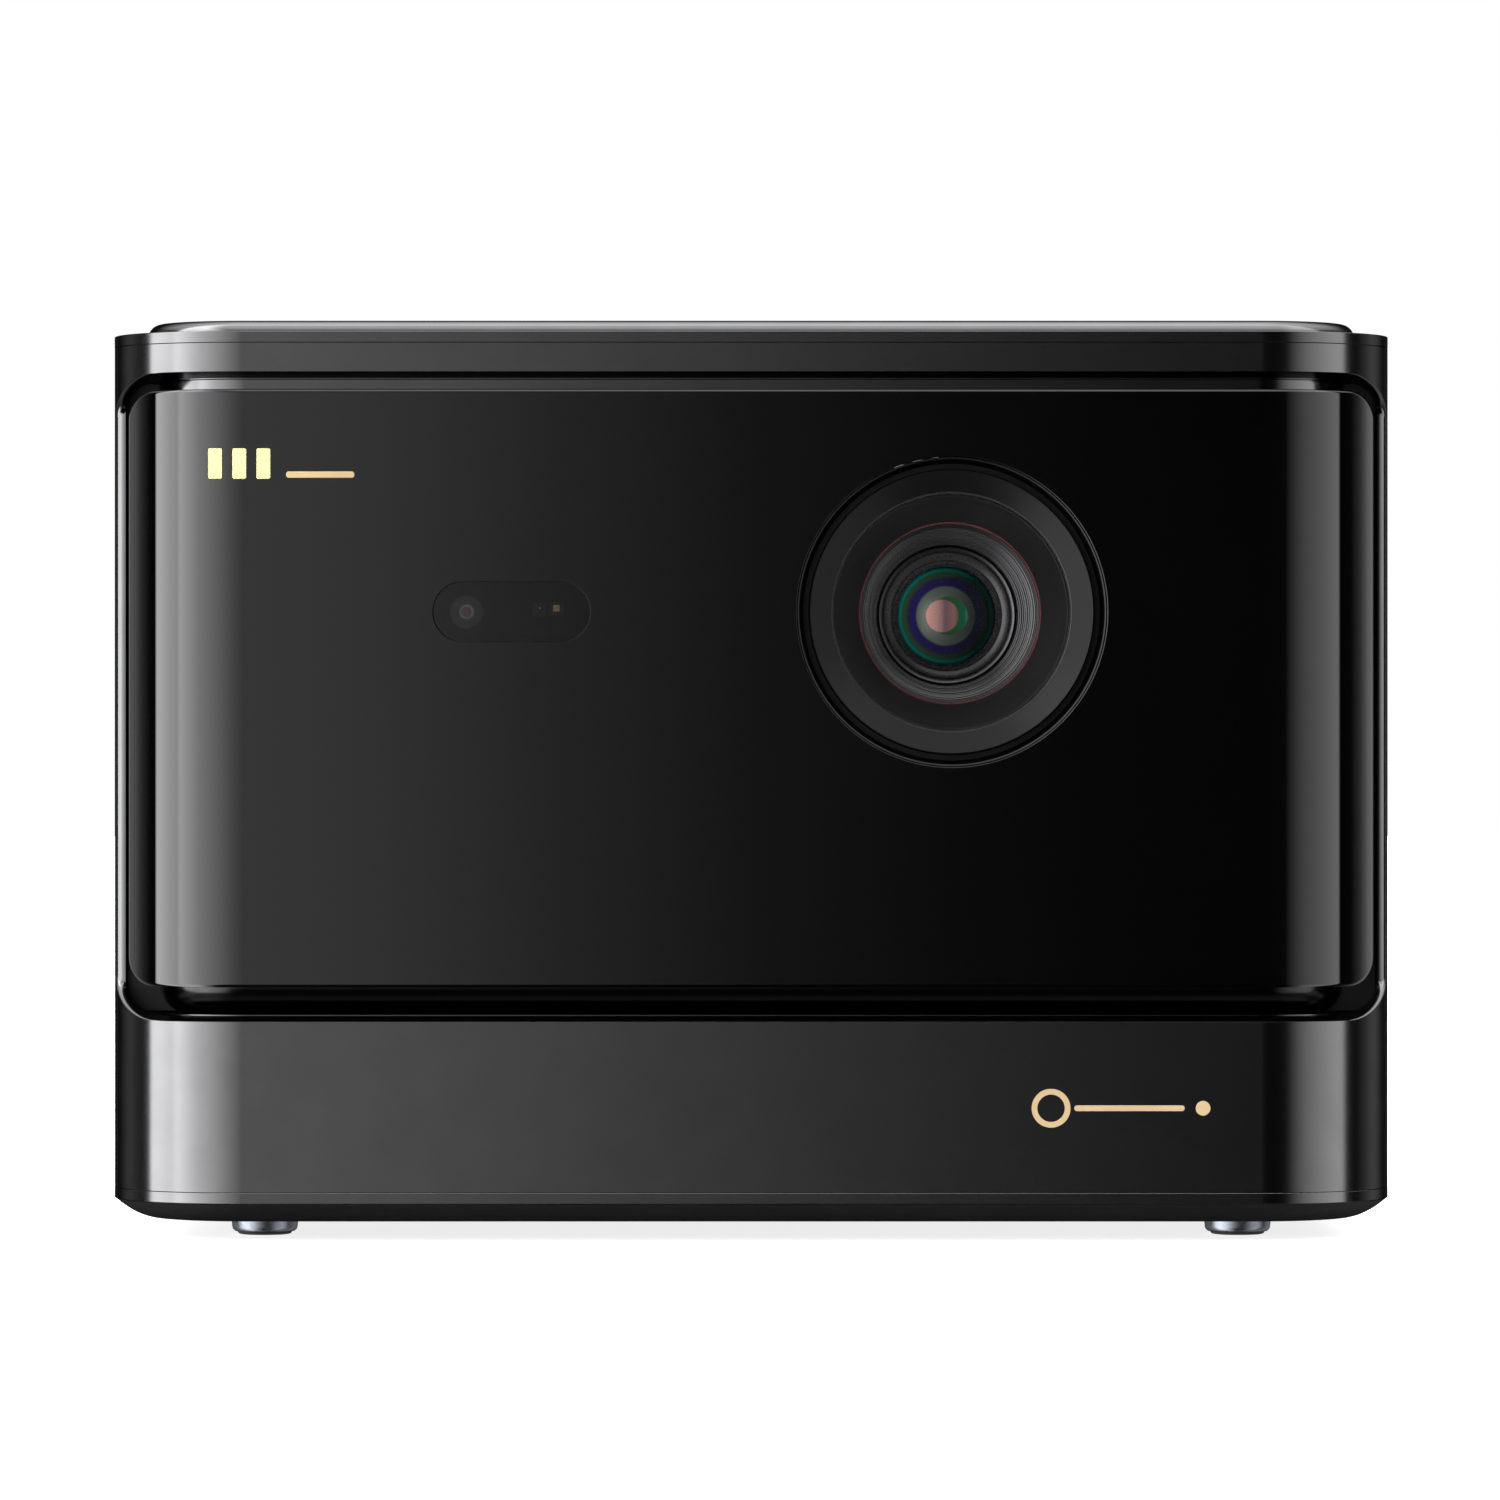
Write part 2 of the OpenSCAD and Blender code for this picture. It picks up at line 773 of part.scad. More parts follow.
module fan_housing(side) {
    color("#1b1b1d") on_side(side) {
        translate([fan_x, fan_y, fan_z]) rotate([0, 90, 0]) difference() {
            union() {
                difference() {
                    linear_extrude(fan_t) rrect(fan_w, fan_w, 5);
                    translate([0, 0, -1]) cylinder(r = fan_bore, h = fan_t + 2);
                }
                cylinder(r = fan_hub, h = 2.4);
                for (i = [0 : 3]) rotate([0, 0, 45 + i * 90]) translate([0, -1.5, 0])
                    cube([fan_bore + 1, 3, 2]);
            }
            translate([0, 0, -1]) cylinder(r = spindle_r + shaft_gap, h = 5);
            for (sx = [-1, 1], sy = [-1, 1])
                translate([sx * (fan_w / 2 - fan_hole_in), sy * (fan_w / 2 - fan_hole_in), -1])
                    cylinder(r = fan_hole_r, h = fan_t + 2);
        }
        for (s = [-1, 1]) translate([fan_x, fan_y + s * fan_foot_off, 0])
            block([2, -fan_foot_half, deck_top], [fan_t - 2, fan_foot_half, fan_z - fan_w / 2 + 1]);
    }
}

module fan_rotor(side) {
    color("#2a2b2e") on_side(side) translate([fan_x, fan_y, fan_z]) rotate([0, 90, 0]) {
        translate([0, 0, 3.2]) cylinder(r = fan_hub, h = 14.6);
        translate([0, 0, 0.2]) cylinder(r = spindle_r, h = 4);
        intersection() {
            translate([0, 0, 3.6]) cylinder(r = fan_bore - 0.9, h = 13.8);
            for (i = [0 : fan_blades - 1]) rotate([0, 0, i * 360 / fan_blades])
                translate([26.5, 0, 10.4]) rotate([38, 0, 0]) cube([24, 1.5, 20], center = true);
        }
    }
}

// ---- sound ----

module speaker_box(side) {
    magnet_x = 92;
    color("#222224") on_side(side) {
        difference() {
            union() {
                difference() {
                    block([speaker_x0, speaker_y0, deck_top + 0.1],
                        [speaker_x1, speaker_y1, speaker_z1]);
                    block([speaker_x0, speaker_y0, deck_top + 0.1] + speaker_wall * [1, 1, 1],
                        [speaker_x1, speaker_y1, speaker_z1] - speaker_wall * [1, 1, 1]);
                }
                x_rod(speaker_x0 + 1, magnet_x + 1, cone_y, cone_z, 6);
                x_rod(magnet_x, magnet_x + 9, cone_y, cone_z, 14);
            }
            x_rod(speaker_x1 - 5, speaker_x1 + 5, cone_y, cone_z, 20);
            difference() {
                x_rod(magnet_x + 4, magnet_x + 12, cone_y, cone_z, 7.4);
                x_rod(magnet_x + 3, magnet_x + 13, cone_y, cone_z, 5.6);
            }
        }
    }
}

module speaker_cone(side) {
    color("#3a3b3e") on_side(side) translate([0, cone_y, cone_z]) rotate([0, 90, 0]) rotate_extrude()
        polygon([[6.2, 98], [6.8, 98], [6.8, 104.4], [cone_r, 112.8], [cone_r, 114], [cone_r - 1.2, 114],
            [6.2, 105.8], [0, 107.6], [0, 106.6], [6.2, 104.8]]);
}

// ---- vents ----

// A panel of upright fins seen face on: u runs along the wall, v is the depth behind the body face
module grille_panel(u0, u1) {
    frame_w = 3;
    fins = floor((u1 - u0) / fin_pitch);
    start = (u0 + u1) / 2 - (fins - 1) * fin_pitch / 2;
    difference() {
        block([u0 - frame_w, -grille_in, vent_low - frame_w],
            [u1 + frame_w, -wall - 0.2, vent_high + frame_w]);
        block([u0 + 1, -far, vent_low + 1], [u1 - 1, far, vent_high - 1]);
    }
    for (i = [0 : fins - 1])
        block([start + i * fin_pitch - fin_w / 2, -grille_in + 1, vent_low + 0.3],
            [start + i * fin_pitch + fin_w / 2, -fin_in, vent_high - 0.3]);
    for (k = [1 : 3]) {
        z = vent_low + k * (vent_high - vent_low) / 4;
        block([u0, -grille_in, z - 1], [u1, -grille_in + 1.6, z + 1]);
    }
}

module side_grille(side) {
    color("#0f0f10") on_side(side) intersection() {
        translate([side_x, 0, 0]) rotate([0, 0, -90]) mirror([1, 0, 0])
            grille_panel(side_open_y0, side_open_y1);
        union() {
            side_slab(side_x - wall - 0.3, side_x, side_open_y0 + 0.2, side_open_y1 - 0.2,
                vent_low + 0.2, vent_high - 0.2, vent_corner - 0.2);
            block([0, -far, 0], [side_x - wall - 0.2, far, far]);
        }
    }
}

module rear_grille() {
    color("#0f0f10") intersection() {
        translate([0, back_y, 0]) grille_panel(-rear_open_half, rear_open_half);
        union() {
            front_slab(-rear_open_half + 0.2, rear_open_half - 0.2, vent_low + 0.2, vent_high - 0.2,
                vent_corner - 0.2, back_y - wall - 0.3, back_y);
            block([-far, 0, 0], [far, back_y - wall - 0.2, far]);
        }
    }
}

// ---- sockets ----

// A clearance hole through the panel for a socket standing on the board
module socket_hole(x, half, h) {
    block([x - half, socket_cut[0], socket_z - 0.2], [x + half, socket_cut[1], socket_z + h]);
}

module port_panel() {
    face = back_y - panel_in;
    color("#18181a") difference() {
        union() {
            front_slab(-port_half + 0.2, port_half - 0.2, port_low + 0.2, port_high - 0.2,
                port_corner - 0.2, face - 2, face);
            block([-port_half - 3, face - 2.5, port_low - 2],
                [port_half + 3, face - 0.9, port_high + 3]);
        }
        y_rod(dc_x, socket_cut[0], socket_cut[1], socket_z + 6, 4.2);
        socket_hole(lan_x, 8.2, 13.7);
        for (x = usb_x) socket_hole(x, 7, 7.2);
        for (x = hdmi_x) socket_hole(x, 7.8, 6.2);
        socket_hole(optical_x, 4.9, 9.7);
        y_rod(audio_x, socket_cut[0], socket_cut[1], socket_z + 4, 3.4);
    }
}

module dc_jack() {
    color("#0c0c0d") translate([dc_x, 0, 0]) {
        difference() {
            union() {
                block([-5, 88, socket_z], [5, 100.6, socket_z + 11.4]);
                y_rod(0, 100, socket_face, socket_z + 6, 4.1);
            }
            y_rod(0, 91, 110, socket_z + 6, 2.9);
        }
        y_rod(0, 90, 102, socket_z + 6, 1.25);
    }
}

// A metal can open to the rear with a flat tongue inside
module tongue_socket(w, h, depth, tongue_w, tongue_z) {
    difference() {
        block([-w / 2, socket_face - depth, 0], [w / 2, socket_face, h]);
        block([-w / 2 + 0.6, socket_face - depth + 1.5, 0.6], [w / 2 - 0.6, socket_cut[1], h - 0.6]);
    }
    block([-tongue_w / 2, socket_face - depth + 1, tongue_z],
        [tongue_w / 2, socket_face - 1.2, tongue_z + 1.4]);
}

module hdmi_ports() {
    color("#8f9296") for (x = hdmi_x) translate([x, 0, socket_z]) tongue_socket(15, 6, 12, 11, 2.6);
}

module usb_ports() {
    color("#8f9296") for (x = usb_x) translate([x, 0, socket_z]) tongue_socket(13.4, 7, 14, 11, 4);
}

module lan_port() {
    color("#9a9da1") translate([lan_x, 0, socket_z]) difference() {
        block([-8, 84, 0], [8, socket_face, 13.4]);
        block([-6, 89, 3], [6, 110, 10.6]);
        block([-3.2, 93, 10], [3.2, 110, 12.2]);
    }
}

module audio_ports() {
    color("#101011") {
        translate([audio_x, 0, socket_z]) difference() {
            union() {
                block([-3.2, 88, 0], [3.2, 100.6, 7.4]);
                y_rod(0, 100, 103, 4, 3.2);
            }
            y_rod(0, 90, 110, 4, 1.78);
        }
        translate([optical_x, 0, socket_z]) difference() {
            block([-4.7, 88, 0], [4.7, 103, 9.4]);
            block([-3, 92, 1.8], [3, 110, 7.6]);
        }
    }
}

// ---- inner frame and boards ----

module mainboard() {
    color("#14532d") difference() {
        union() {
            translate([0, 0, board_z]) linear_extrude(board_t) translate([0, 19]) rrect(200, 160, 3);
            for (p = [[-60, -20, 24, 18, 2], [-16, -34, 34, 34, 8], [46, -30, 22, 22, 2],
                [-70, 40, 18, 26, 5], [20, 40, 30, 14, 3], [70, 30, 12, 20, 10]])
                translate([p[0], p[1], board_z + 1]) cube([p[2], p[3], p[4] + 0.6]);
        }
        for (p = standoffs) translate([p[0], p[1], 0]) cylinder(r = 1.6, h = 20);
    }
}

module flex_cable() {
    color("#8a6a32") {
        block([lens_x - 8, engine_y1 + 1.8, 24], [lens_x + 8, engine_y1 + 2.2, 100]);
        block([lens_x - 8, engine_y1 + 1.8, 24], [lens_x + 8, 62, 24.4]);
        block([lens_x - 8, 61.6, board_z + board_t], [lens_x + 8, 62, 24.4]);
    }
}

module mid_frame() {
    color("#4a4d52") difference() {
        union() {
            translate([0, 10, deck_z]) linear_extrude(deck_t) rrect(234, 175, 15);
            for (x = [-deck_post_x, deck_post_x], y = deck_post_y)
                translate([x, y, floor_top + 0.1]) cylinder(r = 4, h = deck_z - floor_top);
        }
        block([lens_x - 10, engine_y1 - 1, 40], [lens_x + 10, engine_y1 + 5, 50]);
        for (i = [0 : 5]) block([-64 + i * 22, 66, 40], [-54 + i * 22, 90, 50]);
        for (i = [0 : 5]) block([-64 + i * 22, -70, 40], [-54 + i * 22, -40, 50]);
    }
}

outer_shell();
top_frame();
bottom_trim();
base_cover();
foot_collars();
foot_pads();
top_cover();
power_button();
button_dome();
button_board();
front_bezel();
front_glass();
sensor_window();
camera_module();
tof_sensor();
front_mark();
band_inlay();
lens_trim_ring();
lens_hood();
lens_barrel();
lens_cell();
front_lens();
rear_lens();
lens_retainer();
focus_ring();
focus_pinion();
focus_motor();
engine_housing();
prism();
shift_frame();
shift_plate();
dmd_board();
dmd_heatsink();
laser_module();
laser_heatsink();
heat_pipes();
wheel_motor();
phosphor_wheel();
fan_housing(-1);  // fan_housing_left
fan_housing(1);  // fan_housing_right
fan_rotor(-1);  // fan_rotor_left
fan_rotor(1);  // fan_rotor_right
speaker_box(-1);  // speaker_box_left
speaker_box(1);  // speaker_box_right
speaker_cone(-1);  // speaker_cone_left
speaker_cone(1);  // speaker_cone_right
side_grille(-1);  // side_grille_left
side_grille(1);  // side_grille_right
rear_grille();
port_panel();
dc_jack();
hdmi_ports();
usb_ports();
lan_port();
audio_ports();
mainboard();
flex_cable();
mid_frame();
base_screws();
tripod_insert();
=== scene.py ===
"""Looks of the home projector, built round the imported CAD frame.

Lengths are in millimetres until they reach Blender.
"""

import json
import math

import bmesh
import bpy
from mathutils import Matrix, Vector
from mathutils.geometry import tessellate_polygon


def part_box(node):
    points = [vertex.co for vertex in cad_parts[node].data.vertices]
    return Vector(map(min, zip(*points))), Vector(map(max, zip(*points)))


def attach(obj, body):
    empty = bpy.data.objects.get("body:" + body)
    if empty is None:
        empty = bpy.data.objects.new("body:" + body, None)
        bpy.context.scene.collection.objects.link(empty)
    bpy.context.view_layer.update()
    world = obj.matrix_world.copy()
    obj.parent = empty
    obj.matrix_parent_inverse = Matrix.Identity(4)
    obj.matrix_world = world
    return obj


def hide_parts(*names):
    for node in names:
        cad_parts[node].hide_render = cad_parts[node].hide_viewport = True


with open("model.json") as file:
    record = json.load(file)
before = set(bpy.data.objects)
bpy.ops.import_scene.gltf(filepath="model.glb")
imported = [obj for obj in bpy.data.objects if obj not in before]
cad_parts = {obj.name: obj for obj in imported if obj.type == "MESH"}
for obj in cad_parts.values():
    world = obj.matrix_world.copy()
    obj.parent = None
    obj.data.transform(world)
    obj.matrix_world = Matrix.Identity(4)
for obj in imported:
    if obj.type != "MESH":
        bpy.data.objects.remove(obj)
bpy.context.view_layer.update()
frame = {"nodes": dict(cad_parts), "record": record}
nodes = frame["nodes"]

MM = 0.001
SHARP_EDGE = math.radians(35)


def node_box(name):
    """Low and high corner of a CAD node, in millimetres."""
    lo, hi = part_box(name)
    return Vector(lo) / MM, Vector(hi) / MM


# ---- driving sizes, read from the frame ----

SHELL_LO, SHELL_HI = node_box("outer_shell")
TOP_HI = node_box("top_frame")[1]
TRIM_LO, TRIM_HI = node_box("bottom_trim")
BASE_LO = node_box("base_cover")[0]
GLASS_LO, GLASS_HI = node_box("front_glass")
NECK_LO, NECK_HI = node_box("front_bezel")
RING_LO, RING_HI = node_box("lens_trim_ring")
PILL_LO, PILL_HI = node_box("sensor_window")

SIDE_X = SHELL_HI.x
FRONT_Y = SHELL_LO.y
BACK_Y = SHELL_HI.y
CORNER = 26.0
ARC_X = SIDE_X - CORNER
ARC_Y = BACK_Y - CORNER
WALL = 1.6

PORTAL_LOW, PORTAL_HIGH = 42.0, 165.7
PORTAL_FLAT = 114.2
POST_ROUND = 2.2
POST_END = 120.5
SKIN = 0.02
CORNER_START = 112.0
CORNER_RUN = 8.0

LENS_X = (RING_LO.x + RING_HI.x) / 2
LENS_Z = (RING_LO.z + RING_HI.z) / 2
PILL_X = (PILL_LO.x + PILL_HI.x) / 2

VENT_LOW, VENT_HIGH, VENT_CORNER = 47.0, 161.0, 8.0
SIDE_OPEN = (-66.0, 74.0)
REAR_OPEN = (-92.0, 92.0)
PORT_HALF, PORT_LOW, PORT_HIGH, PORT_CORNER = 88.0, 12.5, 33.0, 3.0


# ---- mesh building ----


class Shape:
    """Collects polygons given by their corners and joins equal corners."""

    def __init__(self):
        self.index = {}
        self.verts = []
        self.faces = []
        self.slots = []
        self.slot = 0

    def corner(self, p):
        key = tuple(round(c * 1e4) for c in p)
        if key not in self.index:
            self.index[key] = len(self.verts)
            self.verts.append(tuple(c * MM for c in p))
        return self.index[key]

    def face(self, points):
        ids = []
        for p in points:
            i = self.corner(p)
            if not ids or ids[-1] != i:
                ids.append(i)
        if len(ids) > 1 and ids[0] == ids[-1]:
            ids.pop()
        if len(set(ids)) > 2 and len(set(ids)) == len(ids):
            self.faces.append(ids)
            self.slots.append(self.slot)

    def strip(self, a, b, closed=True):
        count = len(a)
        for i in range(count if closed else count - 1):
            j = (i + 1) % count
            self.face([a[i], a[j], b[j], b[i]])

    def rows(self, loops, ring=False, closed=True):
        """Joins each loop to the next, and with ring the last one to the first."""
        for a, b in zip(loops, loops[1:] + loops[:1] if ring else loops[1:]):
            self.strip(a, b, closed)

    def cap(self, *loops):
        flat = [p for loop in loops for p in loop]
        for tri in tessellate_polygon([[Vector(p) for p in loop] for loop in loops]):
            self.face([flat[i] for i in tri])

    def build(self, name, body, replaced, slot, mats=None):
        """Makes the piece; without mats it takes the finish of its slot."""
        mesh = bpy.data.meshes.new(name)
        mesh.from_pydata(self.verts, [], self.faces)
        for poly, s in zip(mesh.polygons, self.slots):
            poly.material_index = s
        bm = bmesh.new()
        bm.from_mesh(mesh)
        bmesh.ops.recalc_face_normals(bm, faces=bm.faces)
        for f in bm.faces:
            f.smooth = True
        for e in bm.edges:
            if len(e.link_faces) == 2 and e.calc_face_angle(0.0) > SHARP_EDGE:
                e.smooth = False
        bm.to_mesh(mesh)
        bm.free()
        obj = bpy.data.objects.new(name, mesh)
        bpy.context.scene.collection.objects.link(obj)
        for m in mats or [MAT[slot]]:
            mesh.materials.append(m)
        weighted = obj.modifiers.new("normals", "WEIGHTED_NORMAL")
        weighted.mode = "FACE_AREA"
        weighted.weight = 100
        weighted.keep_sharp = True
        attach(obj, body)
        if replaced:
            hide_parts(*([replaced] if isinstance(replaced, str) else replaced))
        return obj


def rrect(x0, x1, y0, y1, r, steps=8, grow=0.0):
    """Rounded rectangle as points in order; grow moves the whole outline out, or in when negative."""
    x0, x1, y0, y1, r = x0 - grow, x1 + grow, y0 - grow, y1 + grow, max(r + grow, 0.02)
    points = []
    for cx, cy, start in ((x1 - r, y0 + r, -90), (x1 - r, y1 - r, 0), (x0 + r, y1 - r, 90), (x0 + r, y0 + r, 180)):
        for k in range(steps + 1):
            a = math.radians(start + 90 * k / steps)
            points.append((cx + r * math.cos(a), cy + r * math.sin(a)))
    return points


def circle(cx, cy, r, steps=64, grow=0.0):
    r = r + grow
    return [(cx + r * math.cos(2 * math.pi * k / steps), cy + r * math.sin(2 * math.pi * k / steps))
            for k in range(steps)]


def centred(cx, cy, half_x, half_y, r, steps=8, grow=0.0):
    """Rounded rectangle about a centre."""
    return rrect(cx - half_x, cx + half_x, cy - half_y, cy + half_y, r, steps, grow)


def flat_at(points, z):
    """Plan points at one height."""
    return [(x, y, z) for x, y in points]


def face_at(points, y):
    """Front-view points at one depth."""
    return [(u, y, v) for u, v in points]


def plan(inset, steps=20):
    """Closed plan outline drawn in by inset."""
    return rrect(-SIDE_X, SIDE_X, -BACK_Y, BACK_Y, CORNER, steps, grow=-inset)


def panel(shape, outer, holes, place, thick, bevel=0.3, seg=2):
    """A plate with holes: outer and each hole are functions of how far their outline grows."""
    rounds = [(bevel * (1 - math.sin(math.pi / 2 * k / seg)), bevel * (1 - math.cos(math.pi / 2 * k / seg)))
              for k in range(seg + 1)]
    edges = [(outer, -1)] + [(h, 1) for h in holes]
    front_loops, back_loops = [], []
    for loop, sign in edges:
        rows = [[place(u, v, depth) for u, v in loop(sign * inset)] for inset, depth in rounds]
        rows.append([place(u, v, thick) for u, v in loop(0)])
        shape.rows(rows)
        front_loops.append(rows[0])
        back_loops.append(rows[-1])
    shape.cap(*front_loops)
    shape.cap(*back_loops)


def loft(shape, rings):
    """A closed solid through the rings."""
    shape.rows(rings)
    shape.cap(rings[0])
    shape.cap(rings[-1])


def lathe(shape, profile, place, steps):
    """Turns (radius, height) points about an axis; place maps (u, v, height) to a point."""
    rows = []
    for r, h in profile:
        if r < 1e-6:
            rows.append([place(0, 0, h)] * steps)
        else:
            rows.append([place(u, v, h) for u, v in circle(0, 0, r, steps)])
    shape.rows(rows)


def lens_place(u, v, h):
    """The lens axis: u right, v up, h towards the viewer."""
    return (LENS_X + u, -h, LENS_Z + v)


def front_place(y):
    return lambda u, v, d: (u, y + d, v)


def rear_place(y):
    return lambda u, v, d: (u, y - d, v)


def side_place(x, side):
    return lambda u, v, d: (side * (x - d), u, v)


def up_axis(x, y):
    return lambda u, v, h: (x + u, y + v, h)


def bar(shape, lo, hi, bevel, seg=2):
    """A box with rounded edges: each corner is a small sphere octant, joined by rounded edges."""
    bevel = min(bevel, *[(b - a) / 2.001 for a, b in zip(lo, hi)])

    def end(z_face, up):
        """The rounded end at z_face, from the face inwards."""
        rings = []
        for k in range(seg + 1):
            a = math.pi / 2 * (1 - k / seg)
            r_in = max(bevel * math.cos(a), 0.004)
            inset = bevel - r_in
            plane = rrect(lo[0] + inset, hi[0] - inset, lo[1] + inset, hi[1] - inset, r_in, seg)
            rings.append(flat_at(plane, z_face + up * bevel * (1 - math.sin(a))))
        return rings

    loft(shape, end(lo[2], 1) + end(hi[2], -1)[::-1])


# ---- materials ----


def new_material(name):
    m = bpy.data.materials.new(name)
    m.use_nodes = True
    tree = m.node_tree
    shader = tree.nodes["Principled BSDF"]
    return m, tree, shader


def link(tree, a, b):
    tree.links.new(a, b)


def noise(tree, scale, detail=3.0, stretch=(1, 1, 1)):
    coord = tree.nodes.new("ShaderNodeTexCoord")
    mapping = tree.nodes.new("ShaderNodeMapping")
    mapping.inputs["Scale"].default_value = stretch
    tex = tree.nodes.new("ShaderNodeTexNoise")
    tex.inputs["Scale"].default_value = scale
    tex.inputs["Detail"].default_value = detail
    link(tree, coord.outputs["Object"], mapping.inputs["Vector"])
    link(tree, mapping.outputs["Vector"], tex.inputs["Vector"])
    return tex.outputs["Fac"]


def ramp(tree, fac, stops, mode="LINEAR"):
    node = tree.nodes.new("ShaderNodeValToRGB")
    node.color_ramp.interpolation = mode
    el = node.color_ramp.elements
    while len(el) < len(stops):
        el.new(0.5)
    for e, (pos, col) in zip(el, sorted(stops)):
        e.position = pos
    for e, (pos, col) in zip(el, sorted(stops)):
        e.color = (*col, 1.0) if isinstance(col, tuple) else (col, col, col, 1.0)
    link(tree, fac, node.inputs["Fac"])
    return node.outputs["Color"]


def spread(tree, fac, low, high):
    node = tree.nodes.new("ShaderNodeMapRange")
    node.inputs["From Min"].default_value = 0.3
    node.inputs["From Max"].default_value = 0.7
    node.inputs["To Min"].default_value = low
    node.inputs["To Max"].default_value = high
    link(tree, fac, node.inputs["Value"])
    return node.outputs["Result"]


def finish_material(name, color, rough, metallic, grain, bump, vary, depth=0.00002, coat=0.0, stretch=(1, 1, 1),
                    rough_vary=0.15, ior=1.5, alpha=1.0, edge_tint=1.0):
    """A colour with fine grain, slight tone variation and uneven roughness."""
    m, tree, shader = new_material(name)
    broad = noise(tree, grain / 40, 4.0, stretch)
    fine = noise(tree, grain, 2.0, stretch)
    low = tuple(c * (1 - vary) for c in color)
    high = tuple(min(c * (1 + vary), 1.0) for c in color)
    link(tree, ramp(tree, broad, [(0.3, low), (0.7, high)]), shader.inputs["Base Color"])
    link(tree, spread(tree, fine, rough * (1 - rough_vary), min(rough * (1 + rough_vary), 1.0)),
         shader.inputs["Roughness"])
    if bump:
        b = tree.nodes.new("ShaderNodeBump")
        b.inputs["Strength"].default_value = bump
        b.inputs["Distance"].default_value = depth
        link(tree, fine, b.inputs["Height"])
        link(tree, b.outputs["Normal"], shader.inputs["Normal"])
    shader.inputs["Metallic"].default_value = metallic
    shader.inputs["IOR"].default_value = ior
    shader.inputs["Alpha"].default_value = alpha
    shader.inputs["Specular Tint"].default_value = (edge_tint, edge_tint, edge_tint, 1)
    if coat:
        shader.inputs["Coat Weight"].default_value = coat
        shader.inputs["Coat Roughness"].default_value = 0.05
    return m


def painted_reflection_coating(name):
    """Coated lens element with painted reflections: colour rings about the lens axis, a warm disc left of centre and a
    green crescent, made lighter on the left by painted side light and glowing faintly.
    """
    m, tree, shader = new_material(name)
    geo = tree.nodes.new("ShaderNodeTexCoord")

    def distance_to(dx, radius):
        sub = tree.nodes.new("ShaderNodeVectorMath")
        sub.operation = "SUBTRACT"
        sub.inputs[1].default_value = ((LENS_X + dx) * MM, 0, LENS_Z * MM)
        link(tree, geo.outputs["Object"], sub.inputs[0])
        flat = tree.nodes.new("ShaderNodeVectorMath")
        flat.operation = "MULTIPLY"
        flat.inputs[1].default_value = (1 / (radius * MM), 0, 1 / (radius * MM))
        link(tree, sub.outputs["Vector"], flat.inputs[0])
        length = tree.nodes.new("ShaderNodeVectorMath")
        length.operation = "LENGTH"
        link(tree, flat.outputs["Vector"], length.inputs[0])
        return length.outputs["Value"], flat.outputs["Vector"]

    dist, flat = distance_to(0, 10.0)
    rings = ramp(tree, dist, [
        (0.00, (0.075, 0.095, 0.080)), (0.56, (0.075, 0.095, 0.080)), (0.60, (0.012, 0.010, 0.040)),
        (0.66, (0.012, 0.006, 0.075)), (0.73, (0.012, 0.012, 0.035)), (0.79, (0.022, 0.030, 0.014)),
        (0.86, (0.008, 0.045, 0.030)), (0.90, (0.000, 0.110, 0.080)), (0.935, (0.002, 0.030, 0.026)),
        (0.97, (0.002, 0.002, 0.002))])
    split = tree.nodes.new("ShaderNodeSeparateXYZ")
    link(tree, flat, split.inputs[0])
    # Painted side light: the rings are made lighter on the left and darker on the right
    painted_left_light = tree.nodes.new("ShaderNodeMapRange")
    painted_left_light.inputs["From Min"].default_value = -0.6
    painted_left_light.inputs["From Max"].default_value = 0.55
    painted_left_light.inputs["To Min"].default_value = 1.9
    painted_left_light.inputs["To Max"].default_value = 0.25
    link(tree, split.outputs["X"], painted_left_light.inputs["Value"])
    shade = tree.nodes.new("ShaderNodeVectorMath")
    shade.operation = "SCALE"
    link(tree, rings, shade.inputs[0])
    link(tree, painted_left_light.outputs["Result"], shade.inputs["Scale"])

    def disc(base, dx, radius, stops):
        d, f = distance_to(dx, radius)
        mask = ramp(tree, d, [(0.0, 1.0), (0.93, 1.0), (1.0, 0.0)])
        sep = tree.nodes.new("ShaderNodeSeparateXYZ")
        link(tree, f, sep.inputs[0])
        shift = tree.nodes.new("ShaderNodeMapRange")
        shift.inputs["From Min"].default_value = -1.0
        shift.inputs["From Max"].default_value = 1.0
        link(tree, sep.outputs["X"], shift.inputs["Value"])
        tone = ramp(tree, shift.outputs["Result"], stops)
        mix = tree.nodes.new("ShaderNodeMix")
        mix.data_type = "RGBA"
        link(tree, mask, mix.inputs["Factor"])
        link(tree, base, mix.inputs["A"])
        link(tree, tone, mix.inputs["B"])
        return mix.outputs["Result"]

    # Painted reflections in the coating: a green crescent and a warm disc left of centre
    green = [(0.0, (0.03, 0.05, 0.03)), (0.6, (0.03, 0.09, 0.02)), (0.9, (0.01, 0.12, 0.07)),
             (1.0, (0.04, 0.25, 0.18))]
    warm = [(0.0, (0.80, 0.36, 0.28)), (0.35, (0.50, 0.24, 0.21)), (0.6, (0.20, 0.10, 0.13)),
            (0.85, (0.30, 0.15, 0.14)), (1.0, (0.12, 0.10, 0.03))]
    color = disc(disc(shade.outputs["Vector"], 0.5, 3.9, green), -0.75, 3.3, warm)
    link(tree, color, shader.inputs["Base Color"])
    # Painted glow: the painted reflections also make the element glow faintly
    link(tree, color, shader.inputs["Emission Color"])
    shader.inputs["Emission Strength"].default_value = 0.35
    shader.inputs["Roughness"].default_value = 0.12
    shader.inputs["Coat Weight"].default_value = 0.2
    return m


